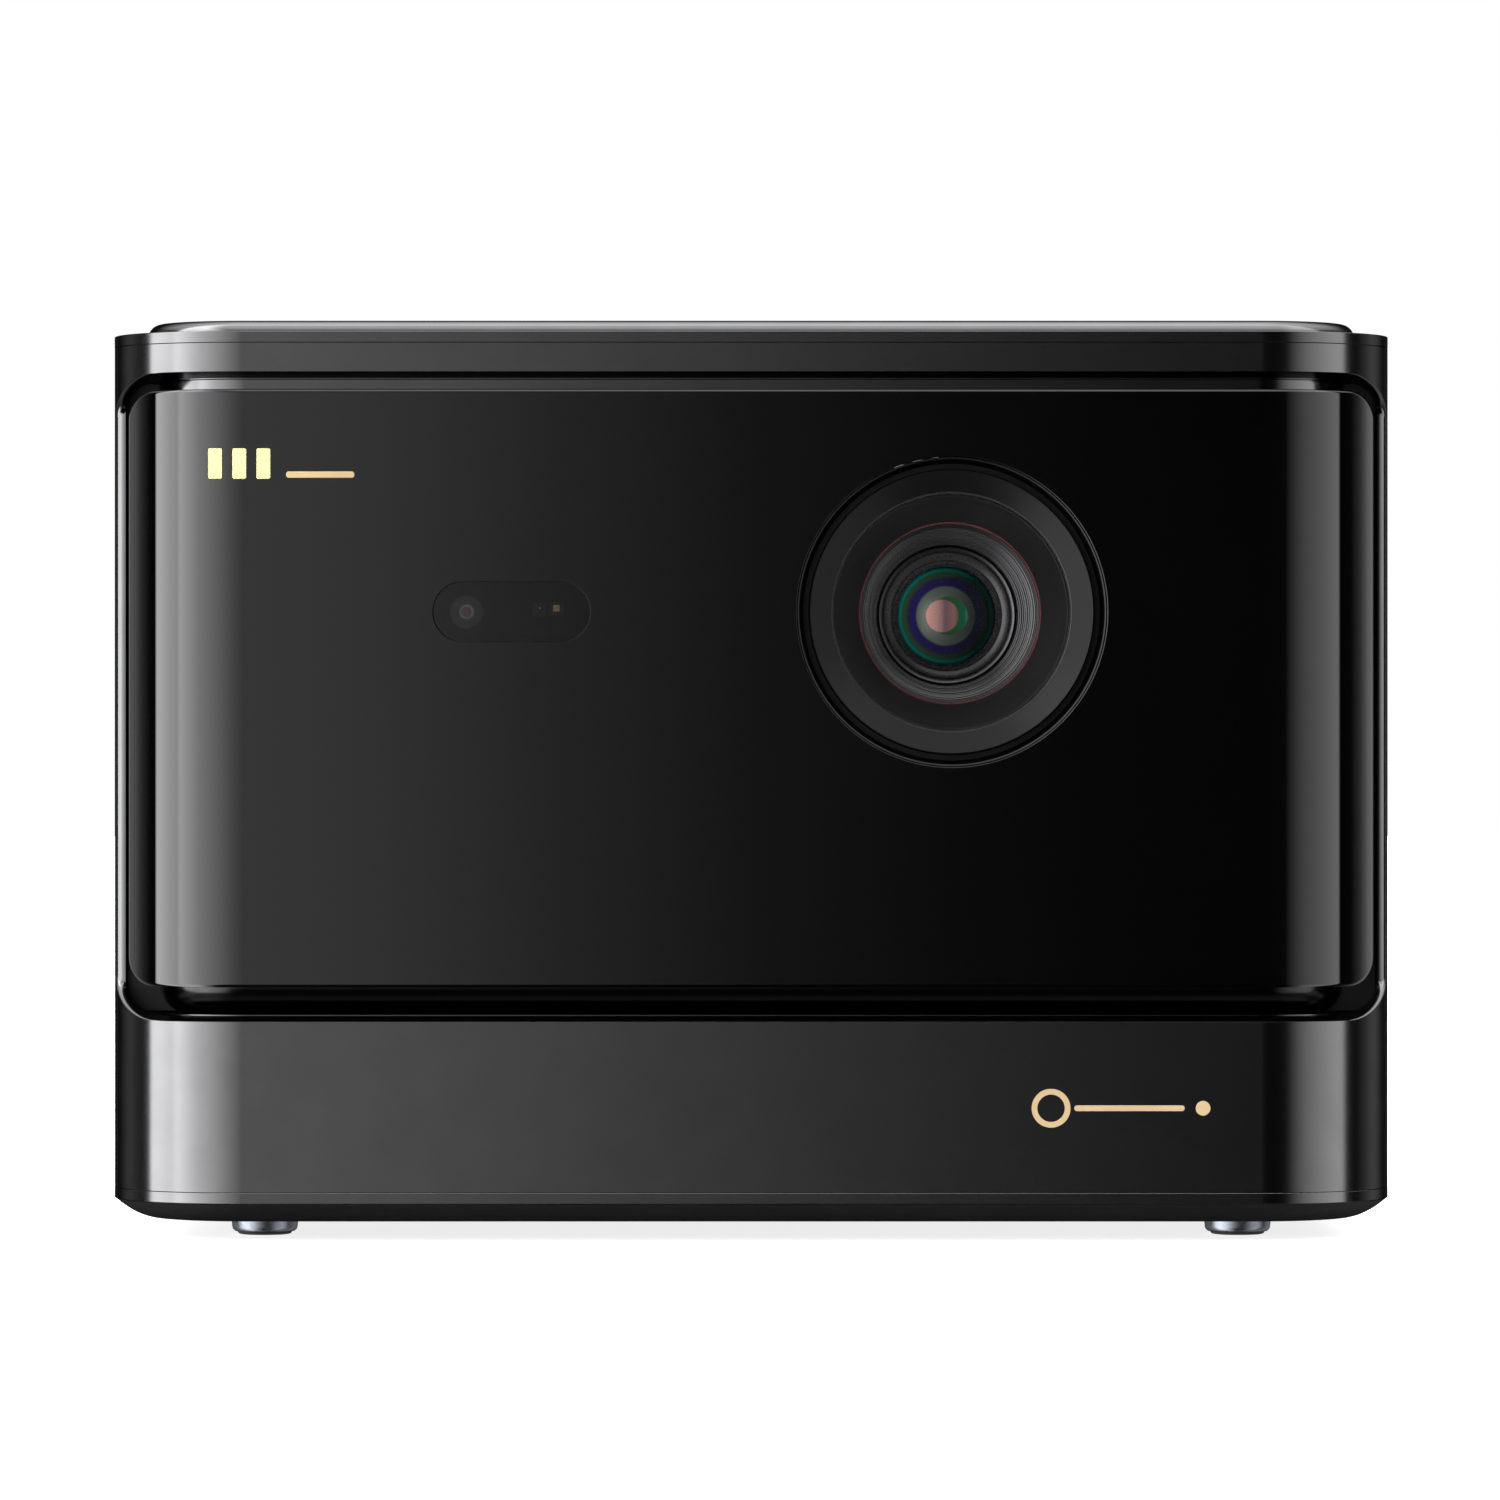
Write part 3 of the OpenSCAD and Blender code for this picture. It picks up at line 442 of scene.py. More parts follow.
# For each slot or detail: name, colour, roughness, metallic, grain, bump strength, tone variation, other settings
FINISHES = {
    "shell_metal": ("satin_dark_metal", (0.104, 0.104, 0.106), 0.165, 1.0, 5200, 0.05, 0.04,
        dict(depth=0.00001, edge_tint=0.25)),
    "trim_metal": ("satin_dark_trim", (0.104, 0.104, 0.106), 0.165, 1.0, 5200, 0.05, 0.04,
        dict(depth=0.00001, edge_tint=0.25)),
    "base_plastic": ("base_moulding", (0.003, 0.003, 0.0033), 0.5, 0.0, 2200, 0.3, 0.2, dict(ior=1.25)),
    "foot_metal": ("foot_plating", (0.165, 0.178, 0.20), 0.38, 1.0, 1500, 0.03, 0.05),
    "foot_rubber": ("foot_rubber", (0.014, 0.014, 0.014), 0.8, 0.0, 1800, 0.5, 0.3),
    "cover_glass": ("top_glass", (0.006, 0.006, 0.007), 0.06, 0.0, 900, 0.0, 0.2, dict(coat=0.3)),
    "button_plastic": ("button_face", (0.020, 0.020, 0.022), 0.24, 0.0, 2600, 0.12, 0.15),
    "silicone": ("grey_silicone", (0.12, 0.13, 0.14), 0.6, 0.0, 1200, 0.2, 0.15),
    "board": ("green_board", (0.008, 0.075, 0.030), 0.42, 0.0, 700, 0.25, 0.3, dict(coat=0.3)),
    "bezel_plastic": ("neck_metal", (0.104, 0.104, 0.106), 0.15, 1.0, 5200, 0.03, 0.04),
    "front_glass": ("front_glass", (0.0004, 0.0004, 0.0004), 0.022, 0.0, 700, 0.0, 0.1, dict(rough_vary=0.05)),
    "window_glass": ("window_tint", (0.0004, 0.0004, 0.0005), 0.022, 0.0, 700, 0.0, 0.1,
        dict(rough_vary=0.05, alpha=0.55, ior=1.6)),
    "module_plastic": ("module_black", (0.05, 0.05, 0.055), 0.45, 0.0, 2200, 0.2, 0.15),
    "mark_gold": ("pale_gold", (0.95, 0.76, 0.40), 0.26, 0.7, 3200, 0.1, 0.1),
    "inlay_gold": ("soft_gold", (0.40, 0.29, 0.16), 0.4, 0.4, 3200, 0.1, 0.1),
    "ring_metal": ("lens_ring_satin", (0.0022, 0.0022, 0.0023), 0.34, 0.0, 4200, 0.15, 0.1, dict(ior=1.18)),
    "baffle_black": ("baffle_black", (0.007, 0.007, 0.007), 0.34, 0.0, 3000, 0.1, 0.15, dict(ior=1.33)),
    "lens_metal": ("lens_black_anodised", (0.05, 0.05, 0.052), 0.3, 0.8, 3000, 0.1, 0.1),
    "gear_plastic": ("gear_acetal", (0.60, 0.57, 0.48), 0.45, 0.0, 900, 0.15, 0.08),
    "gear_brass": ("gear_brass", (0.66, 0.46, 0.17), 0.28, 1.0, 1800, 0.15, 0.12),
    "motor_steel": ("motor_can", (0.50, 0.51, 0.53), 0.3, 1.0, 1500, 0.12, 0.1, dict(stretch=(1, 6, 1))),
    "engine_cast": ("die_cast", (0.26, 0.27, 0.29), 0.55, 0.8, 1300, 0.5, 0.15, dict(depth=0.00006)),
    "prism_glass": ("prism_glass", (0.72, 0.84, 0.88), 0.04, 0.0, 500, 0.0, 0.05, dict(alpha=0.4)),
    "lens_glass": ("clear_lens_glass", (0.01, 0.02, 0.02), 0.02, 0.0, 500, 0.0, 0.05, dict(alpha=0.12, coat=0.4)),
    "shift_metal": ("shift_frame_metal", (0.14, 0.15, 0.16), 0.4, 0.9, 1800, 0.15, 0.15),
    "sink_aluminium": ("sink_aluminium", (0.56, 0.57, 0.59), 0.36, 1.0, 1600, 0.2, 0.1, dict(stretch=(1, 1, 8))),
    "laser_body": ("laser_case", (0.15, 0.16, 0.18), 0.42, 0.9, 1500, 0.3, 0.15),
    "copper": ("heat_pipe_copper", (0.70, 0.30, 0.14), 0.3, 1.0, 900, 0.12, 0.2),
    "phosphor": ("phosphor_coating", (0.80, 0.64, 0.10), 0.5, 0.2, 1400, 0.2, 0.15),
    "fan_plastic": ("fan_moulding", (0.018, 0.018, 0.019), 0.42, 0.0, 1500, 0.25, 0.2),
    "speaker_plastic": ("speaker_case", (0.020, 0.020, 0.021), 0.5, 0.0, 1500, 0.35, 0.2),
    "cone_fibre": ("cone_pulp", (0.045, 0.045, 0.048), 0.75, 0.0, 1100, 0.7, 0.35, dict(depth=0.00006)),
    "grille_plastic": ("fin_moulding", (0.012, 0.012, 0.013), 0.36, 0.0, 2200, 0.25, 0.2),
    "panel_plastic": ("port_panel_moulding", (0.013, 0.013, 0.014), 0.5, 0.0, 1900, 0.45, 0.2),
    "socket_metal": ("socket_shell", (0.55, 0.56, 0.58), 0.26, 1.0, 1500, 0.12, 0.1),
    "socket_plastic": ("socket_black", (0.012, 0.012, 0.012), 0.45, 0.0, 1800, 0.2, 0.2),
    "flex_film": ("flex_film", (0.30, 0.16, 0.04), 0.3, 0.0, 900, 0.1, 0.2, dict(coat=0.3)),
    "frame_steel": ("frame_steel", (0.24, 0.25, 0.27), 0.45, 1.0, 1100, 0.2, 0.15),
    "screw_steel": ("screw_black", (0.07, 0.07, 0.075), 0.32, 1.0, 1500, 0.12, 0.15),
    "insert_brass": ("insert_brass", (0.62, 0.45, 0.18), 0.32, 1.0, 1300, 0.2, 0.15),
    "contact_gold": ("contact_gold", (0.95, 0.68, 0.26), 0.22, 1.0, 1500, 0.05, 0.08),
    "tongue_blue": ("tongue_plastic", (0.012, 0.013, 0.016), 0.4, 0.0, 1500, 0.1, 0.15),
    "led_white": ("light_guide", (0.75, 0.77, 0.80), 0.35, 0.0, 1200, 0.05, 0.05),
    "camera_rim": ("camera_rim", (0.46, 0.44, 0.45), 0.4, 0.0, 2500, 0.1, 0.15),
    "emitter_black": ("emitter_black", (0.02, 0.02, 0.021), 0.4, 0.0, 2500, 0.1, 0.15),
    "emitter_gold": ("emitter_gold", (0.80, 0.56, 0.30), 0.4, 0.0, 2500, 0.1, 0.15),
    "camera_grey": ("camera_surround", (0.075, 0.075, 0.077), 0.4, 0.0, 2500, 0.1, 0.15),
    "camera_eye": ("camera_eye", (0.34, 0.15, 0.17), 0.08, 0.0, 1500, 0.0, 0.3, dict(coat=0.5)),
    # Darker copy of the neck metal: painted shade under the glass
    "neck_black": ("neck_black", (0.03, 0.03, 0.031), 0.2, 1.0, 5200, 0.03, 0.04),
    "recess_black": ("recess_black", (0.0012, 0.0012, 0.0013), 0.5, 0.0, 3000, 0.05, 0.2, dict(ior=1.3)),
    "ring_edge": ("ring_bright_edge", (0.02, 0.02, 0.021), 0.25, 0.5, 3000, 0.05, 0.1),
    "warm_line": ("warm_hairline", (0.16, 0.045, 0.05), 0.3, 0.6, 3000, 0.05, 0.2),
    # Lighter copy of the baffle black for rib noses: painted highlight
    "rib_edge": ("rib_edge", (0.06, 0.06, 0.062), 0.22, 0.6, 3000, 0.05, 0.15),
    "retainer": ("retainer_black", (0.065, 0.065, 0.067), 0.28, 0.5, 3000, 0.1, 0.1),
    "bright_ring": ("throat_ring_metal", (0.10, 0.10, 0.105), 0.32, 0.9, 3000, 0.1, 0.1),
}
MAT = {key: finish_material(*row[:7], **(row[7] if len(row) > 7 else {})) for key, row in FINISHES.items()}
PAINTED_REFLECTION_COATING = painted_reflection_coating("lens_painted_reflections")

# Every CAD node that stays in view gets the finish of its slot
for part in frame["record"]["subparts"]:
    obj = nodes[part["node"]]
    obj.data.materials.clear()
    obj.data.materials.append(MAT[part["material_slot"]])


# ---- shell ----


def front_xs(half, inset):
    """Places along X of the front opening's outline, from the left end to the right end, with its rise there."""
    corner = half - PORTAL_FLAT
    arc = CORNER - inset
    right = []
    a_flat = math.asin((PORTAL_FLAT - ARC_X) / arc)
    for k in range(13):
        right.append((ARC_X + arc * math.sin(a_flat * k / 12), 0.0))
    for k in range(1, 15):
        phi = math.pi / 2 * (1 - k / 14)
        right.append((PORTAL_FLAT + corner * math.cos(phi), corner * (1 - math.sin(phi))))
    return [(-x, rise) for x, rise in reversed(right)] + right


def front_point(x, inset, z):
    arc = CORNER - inset
    over = max(abs(x) - ARC_X, 0.0)
    return (x, -ARC_Y - math.sqrt(max(arc * arc - over * over, 0.0)), z)


def perimeter(half, inset, extra=0.0):
    """Plan outline in order, starting along the front opening, then round the right side, the rear and the left."""
    arc = CORNER - inset
    points = []
    for x, _ in front_xs(half, inset):
        over = max(abs(x) - ARC_X, 0.0)
        n = Vector((math.copysign(over / arc, x), -math.sqrt(1 - (over / arc) ** 2)))
        p = front_point(x, inset, 0)
        points.append((p[0] - n.x * extra, p[1] - n.y * extra))
    r = arc - extra
    end = math.asin((half - ARC_X) / arc)
    right = []
    for k in range(1, 7):
        a = end + (math.pi / 2 - end) * k / 6
        right.append((ARC_X + r * math.sin(a), -ARC_Y - r * math.cos(a)))
    for k in range(0, 25):
        a = math.pi / 2 * k / 24
        right.append((ARC_X + r * math.cos(a), ARC_Y + r * math.sin(a)))
    return points + right + [(-x, y) for x, y in reversed(right)]


def wall_skin(shape, inset, half, rise_low, rise_high, z0, z1, hole_grow):
    """One face of the shell wall at a given depth, with the front opening and the flat openings left out."""
    xs = front_xs(half, inset)
    for (xa, ra), (xb, rb) in zip(xs, xs[1:]):
        a0, b0 = front_point(xa, inset, z0), front_point(xb, inset, z0)
        shape.face([a0, b0, front_point(xb, inset, rise_low + rb), front_point(xa, inset, rise_low + ra)])
        a1, b1 = front_point(xa, inset, z1), front_point(xb, inset, z1)
        shape.face([front_point(xa, inset, rise_high - ra), front_point(xb, inset, rise_high - rb), b1, a1])
    corner = half - PORTAL_FLAT
    around = perimeter(half, inset)[len(xs) - 1:] + perimeter(half, inset)[:1]
    last = len(around) - 1
    flats = {6: "right", 31: "rear", last - 7: "left"}
    for i in range(last):
        (xa, ya), (xb, yb) = around[i], around[i + 1]
        quad = [(xa, ya, z0), (xb, yb, z0), (xb, yb, z1), (xa, ya, z1)]
        kind = flats.get(i)
        if i == 0:
            quad += [(xa, ya, rise_high - corner), (xa, ya, rise_low + corner)]
            shape.face(quad)
        elif i == last - 1:
            quad[2:2] = [(xb, yb, rise_low + corner), (xb, yb, rise_high - corner)]
            shape.face(quad)
        elif kind in ("right", "left"):
            loop = rrect(*SIDE_OPEN, VENT_LOW, VENT_HIGH, VENT_CORNER, 10, hole_grow)
            shape.cap(quad, [(xa, u, v) for u, v in loop])
        elif kind == "rear":
            vent = rrect(*REAR_OPEN, VENT_LOW, VENT_HIGH, VENT_CORNER, 10, hole_grow)
            port = rrect(-PORT_HALF, PORT_HALF, PORT_LOW, PORT_HIGH, PORT_CORNER, 8, hole_grow)
            shape.cap(quad, face_at(vent, ya), face_at(port, ya))
        else:
            shape.face(quad)


def opening_loop(half, inset_side, inset_flat, grow, corner_grow=0.0):
    """The front opening's edge as one closed loop; its depth blends from the level edges to the upright ends."""
    corner = half - PORTAL_FLAT
    points = []
    for x, rise in front_xs(half, 0.0):
        share = min(rise / corner, 1.0) ** 0.5
        inset = inset_flat + (inset_side - inset_flat) * share
        bend = min(max((abs(x) - CORNER_START) / CORNER_RUN, 0.0), 1.0)
        points.append((x, inset, rise + corner_grow * bend * bend * (3 - 2 * bend)))
    lower = [front_point(x, i, PORTAL_LOW + grow + rise) for x, i, rise in points]
    upper = [front_point(x, i, PORTAL_HIGH - grow - rise) for x, i, rise in reversed(points)]
    return lower + upper


def post_rounding():
    """Steps of the quarter round on the upright ends: half width, depth there, depth and rise on the level edges."""
    reach = POST_END - ARC_X
    span = CORNER - POST_ROUND
    centre_y = -ARC_Y - math.sqrt(span ** 2 - reach ** 2)
    start = math.atan2(reach, -centre_y - ARC_Y)
    steps = []
    for k in range(11):
        a = start * (1 - k / 10)
        x = POST_END + POST_ROUND * math.sin(a)
        y = centre_y - POST_ROUND * math.cos(a)
        level = 0.004 * k / 10
        depth = CORNER - math.hypot(x - ARC_X, y + ARC_Y)
        steps.append((x, SKIN + depth, SKIN + level, level, 0.06 * k))
    return steps


def build_shell():
    shape = Shape()
    z0, z1 = SHELL_LO.z, SHELL_HI.z
    edge = 0.06
    lip = 0.55
    rounding = post_rounding()
    outer_half, inner_half = rounding[0][0], POST_END + 0.4
    wall_skin(shape, SKIN, outer_half, PORTAL_LOW, PORTAL_HIGH, z0 + edge, z1 - edge, lip)
    wall_skin(shape, WALL, inner_half, PORTAL_LOW - 1.2, PORTAL_HIGH + 1.2, z0, z1, 0.0)
    outer = perimeter(outer_half, SKIN)
    chamfer = perimeter(outer_half, SKIN, edge)
    inner = perimeter(inner_half, WALL)
    for z, ze in ((z0, z0 + edge), (z1, z1 - edge)):
        shape.strip(flat_at(outer, ze), flat_at(chamfer, z))
        shape.strip(flat_at(chamfer, z), flat_at(inner, z))
    loops = [opening_loop(*step) for step in rounding]
    shape.rows(loops)
    # The sloping ledge that runs back from the opening, and its return to the inner face
    deep = []
    for x, _, z in loops[-1]:
        side = math.copysign(min(abs(x), POST_END - 0.2), x)
        depth = min(8.8, CORNER - (abs(side) - ARC_X) - 0.3)
        up = 1.0 if z < LENS_Z else -1.0
        share = min(max((abs(x) - PORTAL_FLAT) / (POST_END - PORTAL_FLAT), 0.0), 1.0)
        deep.append(front_point(side, depth, z + up * (1 - share) * 1.0))
    shape.strip(loops[-1], deep)
    shape.strip(deep, opening_loop(inner_half, WALL, WALL, -1.2))

    def hole_edge(loop, place):
        rows = []
        for k in range(4):
            a = math.pi / 2 * k / 3
            depth = max(SKIN, lip * (1 - math.cos(a)))
            rows.append([place(u, v, depth) for u, v in loop(lip * (1 - math.sin(a)))])
        rows.append([place(u, v, WALL) for u, v in loop(0.0)])
        shape.rows(rows)

    for side in (-1, 1):
        hole_edge(lambda g: rrect(*SIDE_OPEN, VENT_LOW, VENT_HIGH, VENT_CORNER, 10, g), side_place(SIDE_X, side))
    hole_edge(lambda g: rrect(*REAR_OPEN, VENT_LOW, VENT_HIGH, VENT_CORNER, 10, g), rear_place(BACK_Y))
    hole_edge(lambda g: rrect(-PORT_HALF, PORT_HALF, PORT_LOW, PORT_HIGH, PORT_CORNER, 8, g), rear_place(BACK_Y))

    # Flat shelves under and over the neck, behind the ledges
    for low, high in ((PORTAL_LOW - 1.4, PORTAL_LOW + 1.05), (PORTAL_HIGH - 1.05, PORTAL_HIGH + 1.4)):
        rings = [flat_at(plan(d), z) for d, z in ((8.0, low), (8.0, high), (14, high), (14, low))]
        shape.rows(rings, ring=True)
    return shape.build("shell", "chassis", "outer_shell", "shell_metal")


def ring_solid(name, replaced, slot, profile, steps=24):
    """A ring round the plan outline from a closed list of (inset, height) points."""
    shape = Shape()
    rings = [flat_at(plan(inset, steps), z) for inset, z in profile]
    shape.rows(rings, ring=True)
    return shape.build(name, "chassis", replaced, slot)


def build_top():
    z0, z1 = SHELL_HI.z + 0.05, TOP_HI.z
    edge = 0.16
    top_edge = [(edge - edge * math.cos(math.radians(a)), z1 - edge + edge * math.sin(math.radians(a)))
                for a in (0, 30, 60, 90)]
    deck_z, land = 169.0, 6.45
    ring_solid("top_trim", "top_frame", "trim_metal",
               [(0.06, z0), (0.0, z0 + 0.06)] + top_edge
               + [(6.3, z1), (land, z1 - 0.15), (land, deck_z), (WALL + 0.3, deck_z), (WALL + 0.3, z0)])
    lo, hi = node_box("top_cover")
    plate_in = SIDE_X - hi.x
    button_lo, button_hi = node_box("power_button")
    bx, by = (button_lo.x + button_hi.x) / 2, (button_lo.y + button_hi.y) / 2
    hole_r = 10.9
    shape = Shape()
    rim_w, rim_h = 2.6, hi.z - TOP_HI.z + 0.1
    crown = [(0.0, TOP_HI.z - 1.0)]
    crown += [(rim_w * (1 - math.cos(math.radians(a))), hi.z - rim_h * (1 - math.sin(math.radians(a))))
              for a in range(0, 91, 9)]
    rings = [flat_at(plan(plate_in + d, 24), z) for d, z in crown]
    shape.slot = 1
    shape.rows(rings)
    groove = [flat_at(plan(plate_in + rim_w + d, 24), z) for d, z in
              ((0.3, hi.z), (0.35, hi.z - 0.12), (0.5, hi.z - 0.12), (0.6, hi.z))]
    shape.strip(rings[-1], groove[0])
    shape.slot = 0
    shape.rows(groove)
    hole = [flat_at(circle(bx, by, hole_r, 72, g), z)
            for g, z in ((0.35, hi.z), (0.1, hi.z - 0.1), (0.0, hi.z - 0.35), (0.0, lo.z))]
    shape.rows(hole)
    shape.cap(groove[-1], hole[0])
    shape.cap(flat_at(plan(plate_in, 24), lo.z), hole[-1])
    shape.strip(flat_at(plan(plate_in, 24), lo.z), rings[0])
    shape.build("top_plate", "chassis", "top_cover", "cover_glass", [MAT["cover_glass"], MAT["trim_metal"]])

    # The button: a dished cap with a ring-and-stroke symbol let into it
    shape = Shape()
    top = button_hi.z
    cap_r = 10.6
    profile = [(0, top - 0.55)] + [(cap_r * 0.82 * k / 10, top - 0.55 + 0.45 * (k / 10) ** 2) for k in range(1, 11)]
    flange_r, flange_top, flange_low, stem_r, stem_end = 12.2, 170.25, 168.9, 2.0, 168.2
    profile += [(cap_r - 0.5, top - 0.03), (cap_r - 0.15, top - 0.15), (cap_r, top - 0.5), (cap_r, flange_top),
                (flange_r, flange_top), (flange_r, flange_low), (stem_r, flange_low), (stem_r, stem_end), (0, stem_end)]
    lathe(shape, profile, up_axis(bx, by), 96)
    shape.build("power_cap", "power_button", "power_button", "button_plastic")
    shape = Shape()
    arc_r, half_w = 3.4, 0.28
    angles = [math.radians(90 + 32 + (360 - 64) * k / 48) for k in range(49)]
    z_low, z_up = top - 0.62, top - 0.42
    path_rows = []
    for rr, zz in ((arc_r - half_w, z_low), (arc_r - half_w, z_up), (arc_r + half_w, z_up), (arc_r + half_w, z_low)):
        path_rows.append([(bx + rr * math.cos(a), by + rr * math.sin(a), zz) for a in angles])
    shape.rows(path_rows, ring=True, closed=False)
    for end in (0, -1):
        shape.face([row[end] for row in path_rows])
    bar(shape, (bx - half_w, by + 1.5, z_low), (bx + half_w, by + 4.4, z_up), 0.1)
    shape.build("power_symbol", "power_button", None, "button_plastic", [MAT["led_white"]])


def build_base():
    z0, z1 = TRIM_LO.z, TRIM_HI.z
    ring_solid("low_trim", "bottom_trim", "trim_metal",
               [(0.0, z0 + 0.12), (0.0, z1 - 0.06), (0.06, z1), (5.0, z1), (5.0, z0), (0.12, z0)])
    shape = Shape()
    low, high = BASE_LO.z, TRIM_LO.z - 0.05
    flat_in = 8.0
    profile = [(0.25, high)] + [(0.25 + (flat_in - 0.25) * k / 8, high - (high - low) * (1 - (1 - k / 8) ** 1.8))
                                for k in range(1, 9)]
    rings = [flat_at(plan(d, 20), z) for d, z in profile]
    shape.rows(rings)
    shape.cap(flat_at(plan(0.25, 20), high))

    # Underside: vent slots, screw wells and the tripod hole, each a well with a rounded mouth
    wells = []
    for sx in (-1, 1):
        for i in range(10):
            x, y = sx * 66, -24.7 + i * 6
            wells.append((lambda g, x=x, y=y: centred(x, y, 18, 1.3, 1.25, 5, g), 2.2))
    for sx in (-1, 1):
        for sy in (-1, 1):
            wells.append((lambda g, sx=sx, sy=sy: circle(sx * 106.9, sy * 88.4, 3.4, 32, g), 2.4))
    wells.append((lambda g: circle(0, 0, 6.4, 48, g), 0.6))
    mouths = []
    for loop, depth in wells:
        rows = [[(u, v, low + d) for u, v in loop(g)] for g, d in ((0.3, 0.0), (0.1, 0.1), (0.0, 0.3), (0.0, depth))]
        shape.rows(rows)
        shape.cap(rows[-1])
        mouths.append(rows[0])
    shape.cap(rings[-1], *mouths)
    shape.build("base_pan", "chassis", "base_cover", "base_plastic")

    # Feet: a tapered plated collar with a dished pad
    collars, pads = Shape(), Shape()
    hi = node_box("foot_collars")[1]
    fx, fy, r = hi.x - 6.5, hi.y - 6.5, 6.5
    for sx in (-1, 1):
        for sy in (-1, 1):
            axis = up_axis(sx * fx, sy * fy)
            lathe(collars, [(r - 0.1, hi.z), (r, hi.z - 0.15), (r - 0.16, 1.5), (r - 0.3, 1.0), (r - 0.75, 0.6),
                            (5.3, 0.5), (5.3, 2.0), (0, 2.0), (0, hi.z), (r - 0.1, hi.z)], axis, 72)
            lathe(pads, [(5.22, 2.0), (5.22, 0.35), (5.0, 0.1), (4.6, 0.0), (3.6, 0.0), (3.4, 0.15), (3.0, 0.2),
                         (0, 0.2), (0, 2.0), (5.22, 2.0)], axis, 56)
    collars.build("foot_collar_set", "chassis", "foot_collars", "foot_metal")
    pads.build("foot_pad_set", "chassis", "foot_pads", "foot_rubber")

    # Base screws with a six-lobe socket
    shape = Shape()
    for sx in (-1, 1):
        for sy in (-1, 1):
            cx, cy = sx * 106.9, sy * 88.4
            lobes = 48

            def lobe(r, z):
                radii = [(r + 0.16 * math.cos(6 * t), t) for t in [2 * math.pi * k / lobes for k in range(lobes)]]
                return [(cx + q * math.cos(t), cy + q * math.sin(t), z) for q, t in radii]

            def ring(r, z):
                return flat_at(circle(cx, cy, r, lobes), z)

            rows = [ring(3.0, 6.0), ring(3.0, 5.2), ring(2.8, 4.8), ring(2.3, 4.6), lobe(1.2, 4.6), lobe(1.1, 5.6)]
            loft(shape, rows)
    shape.build("base_screw_set", "chassis", "base_screws", "screw_steel")


# ---- front ----


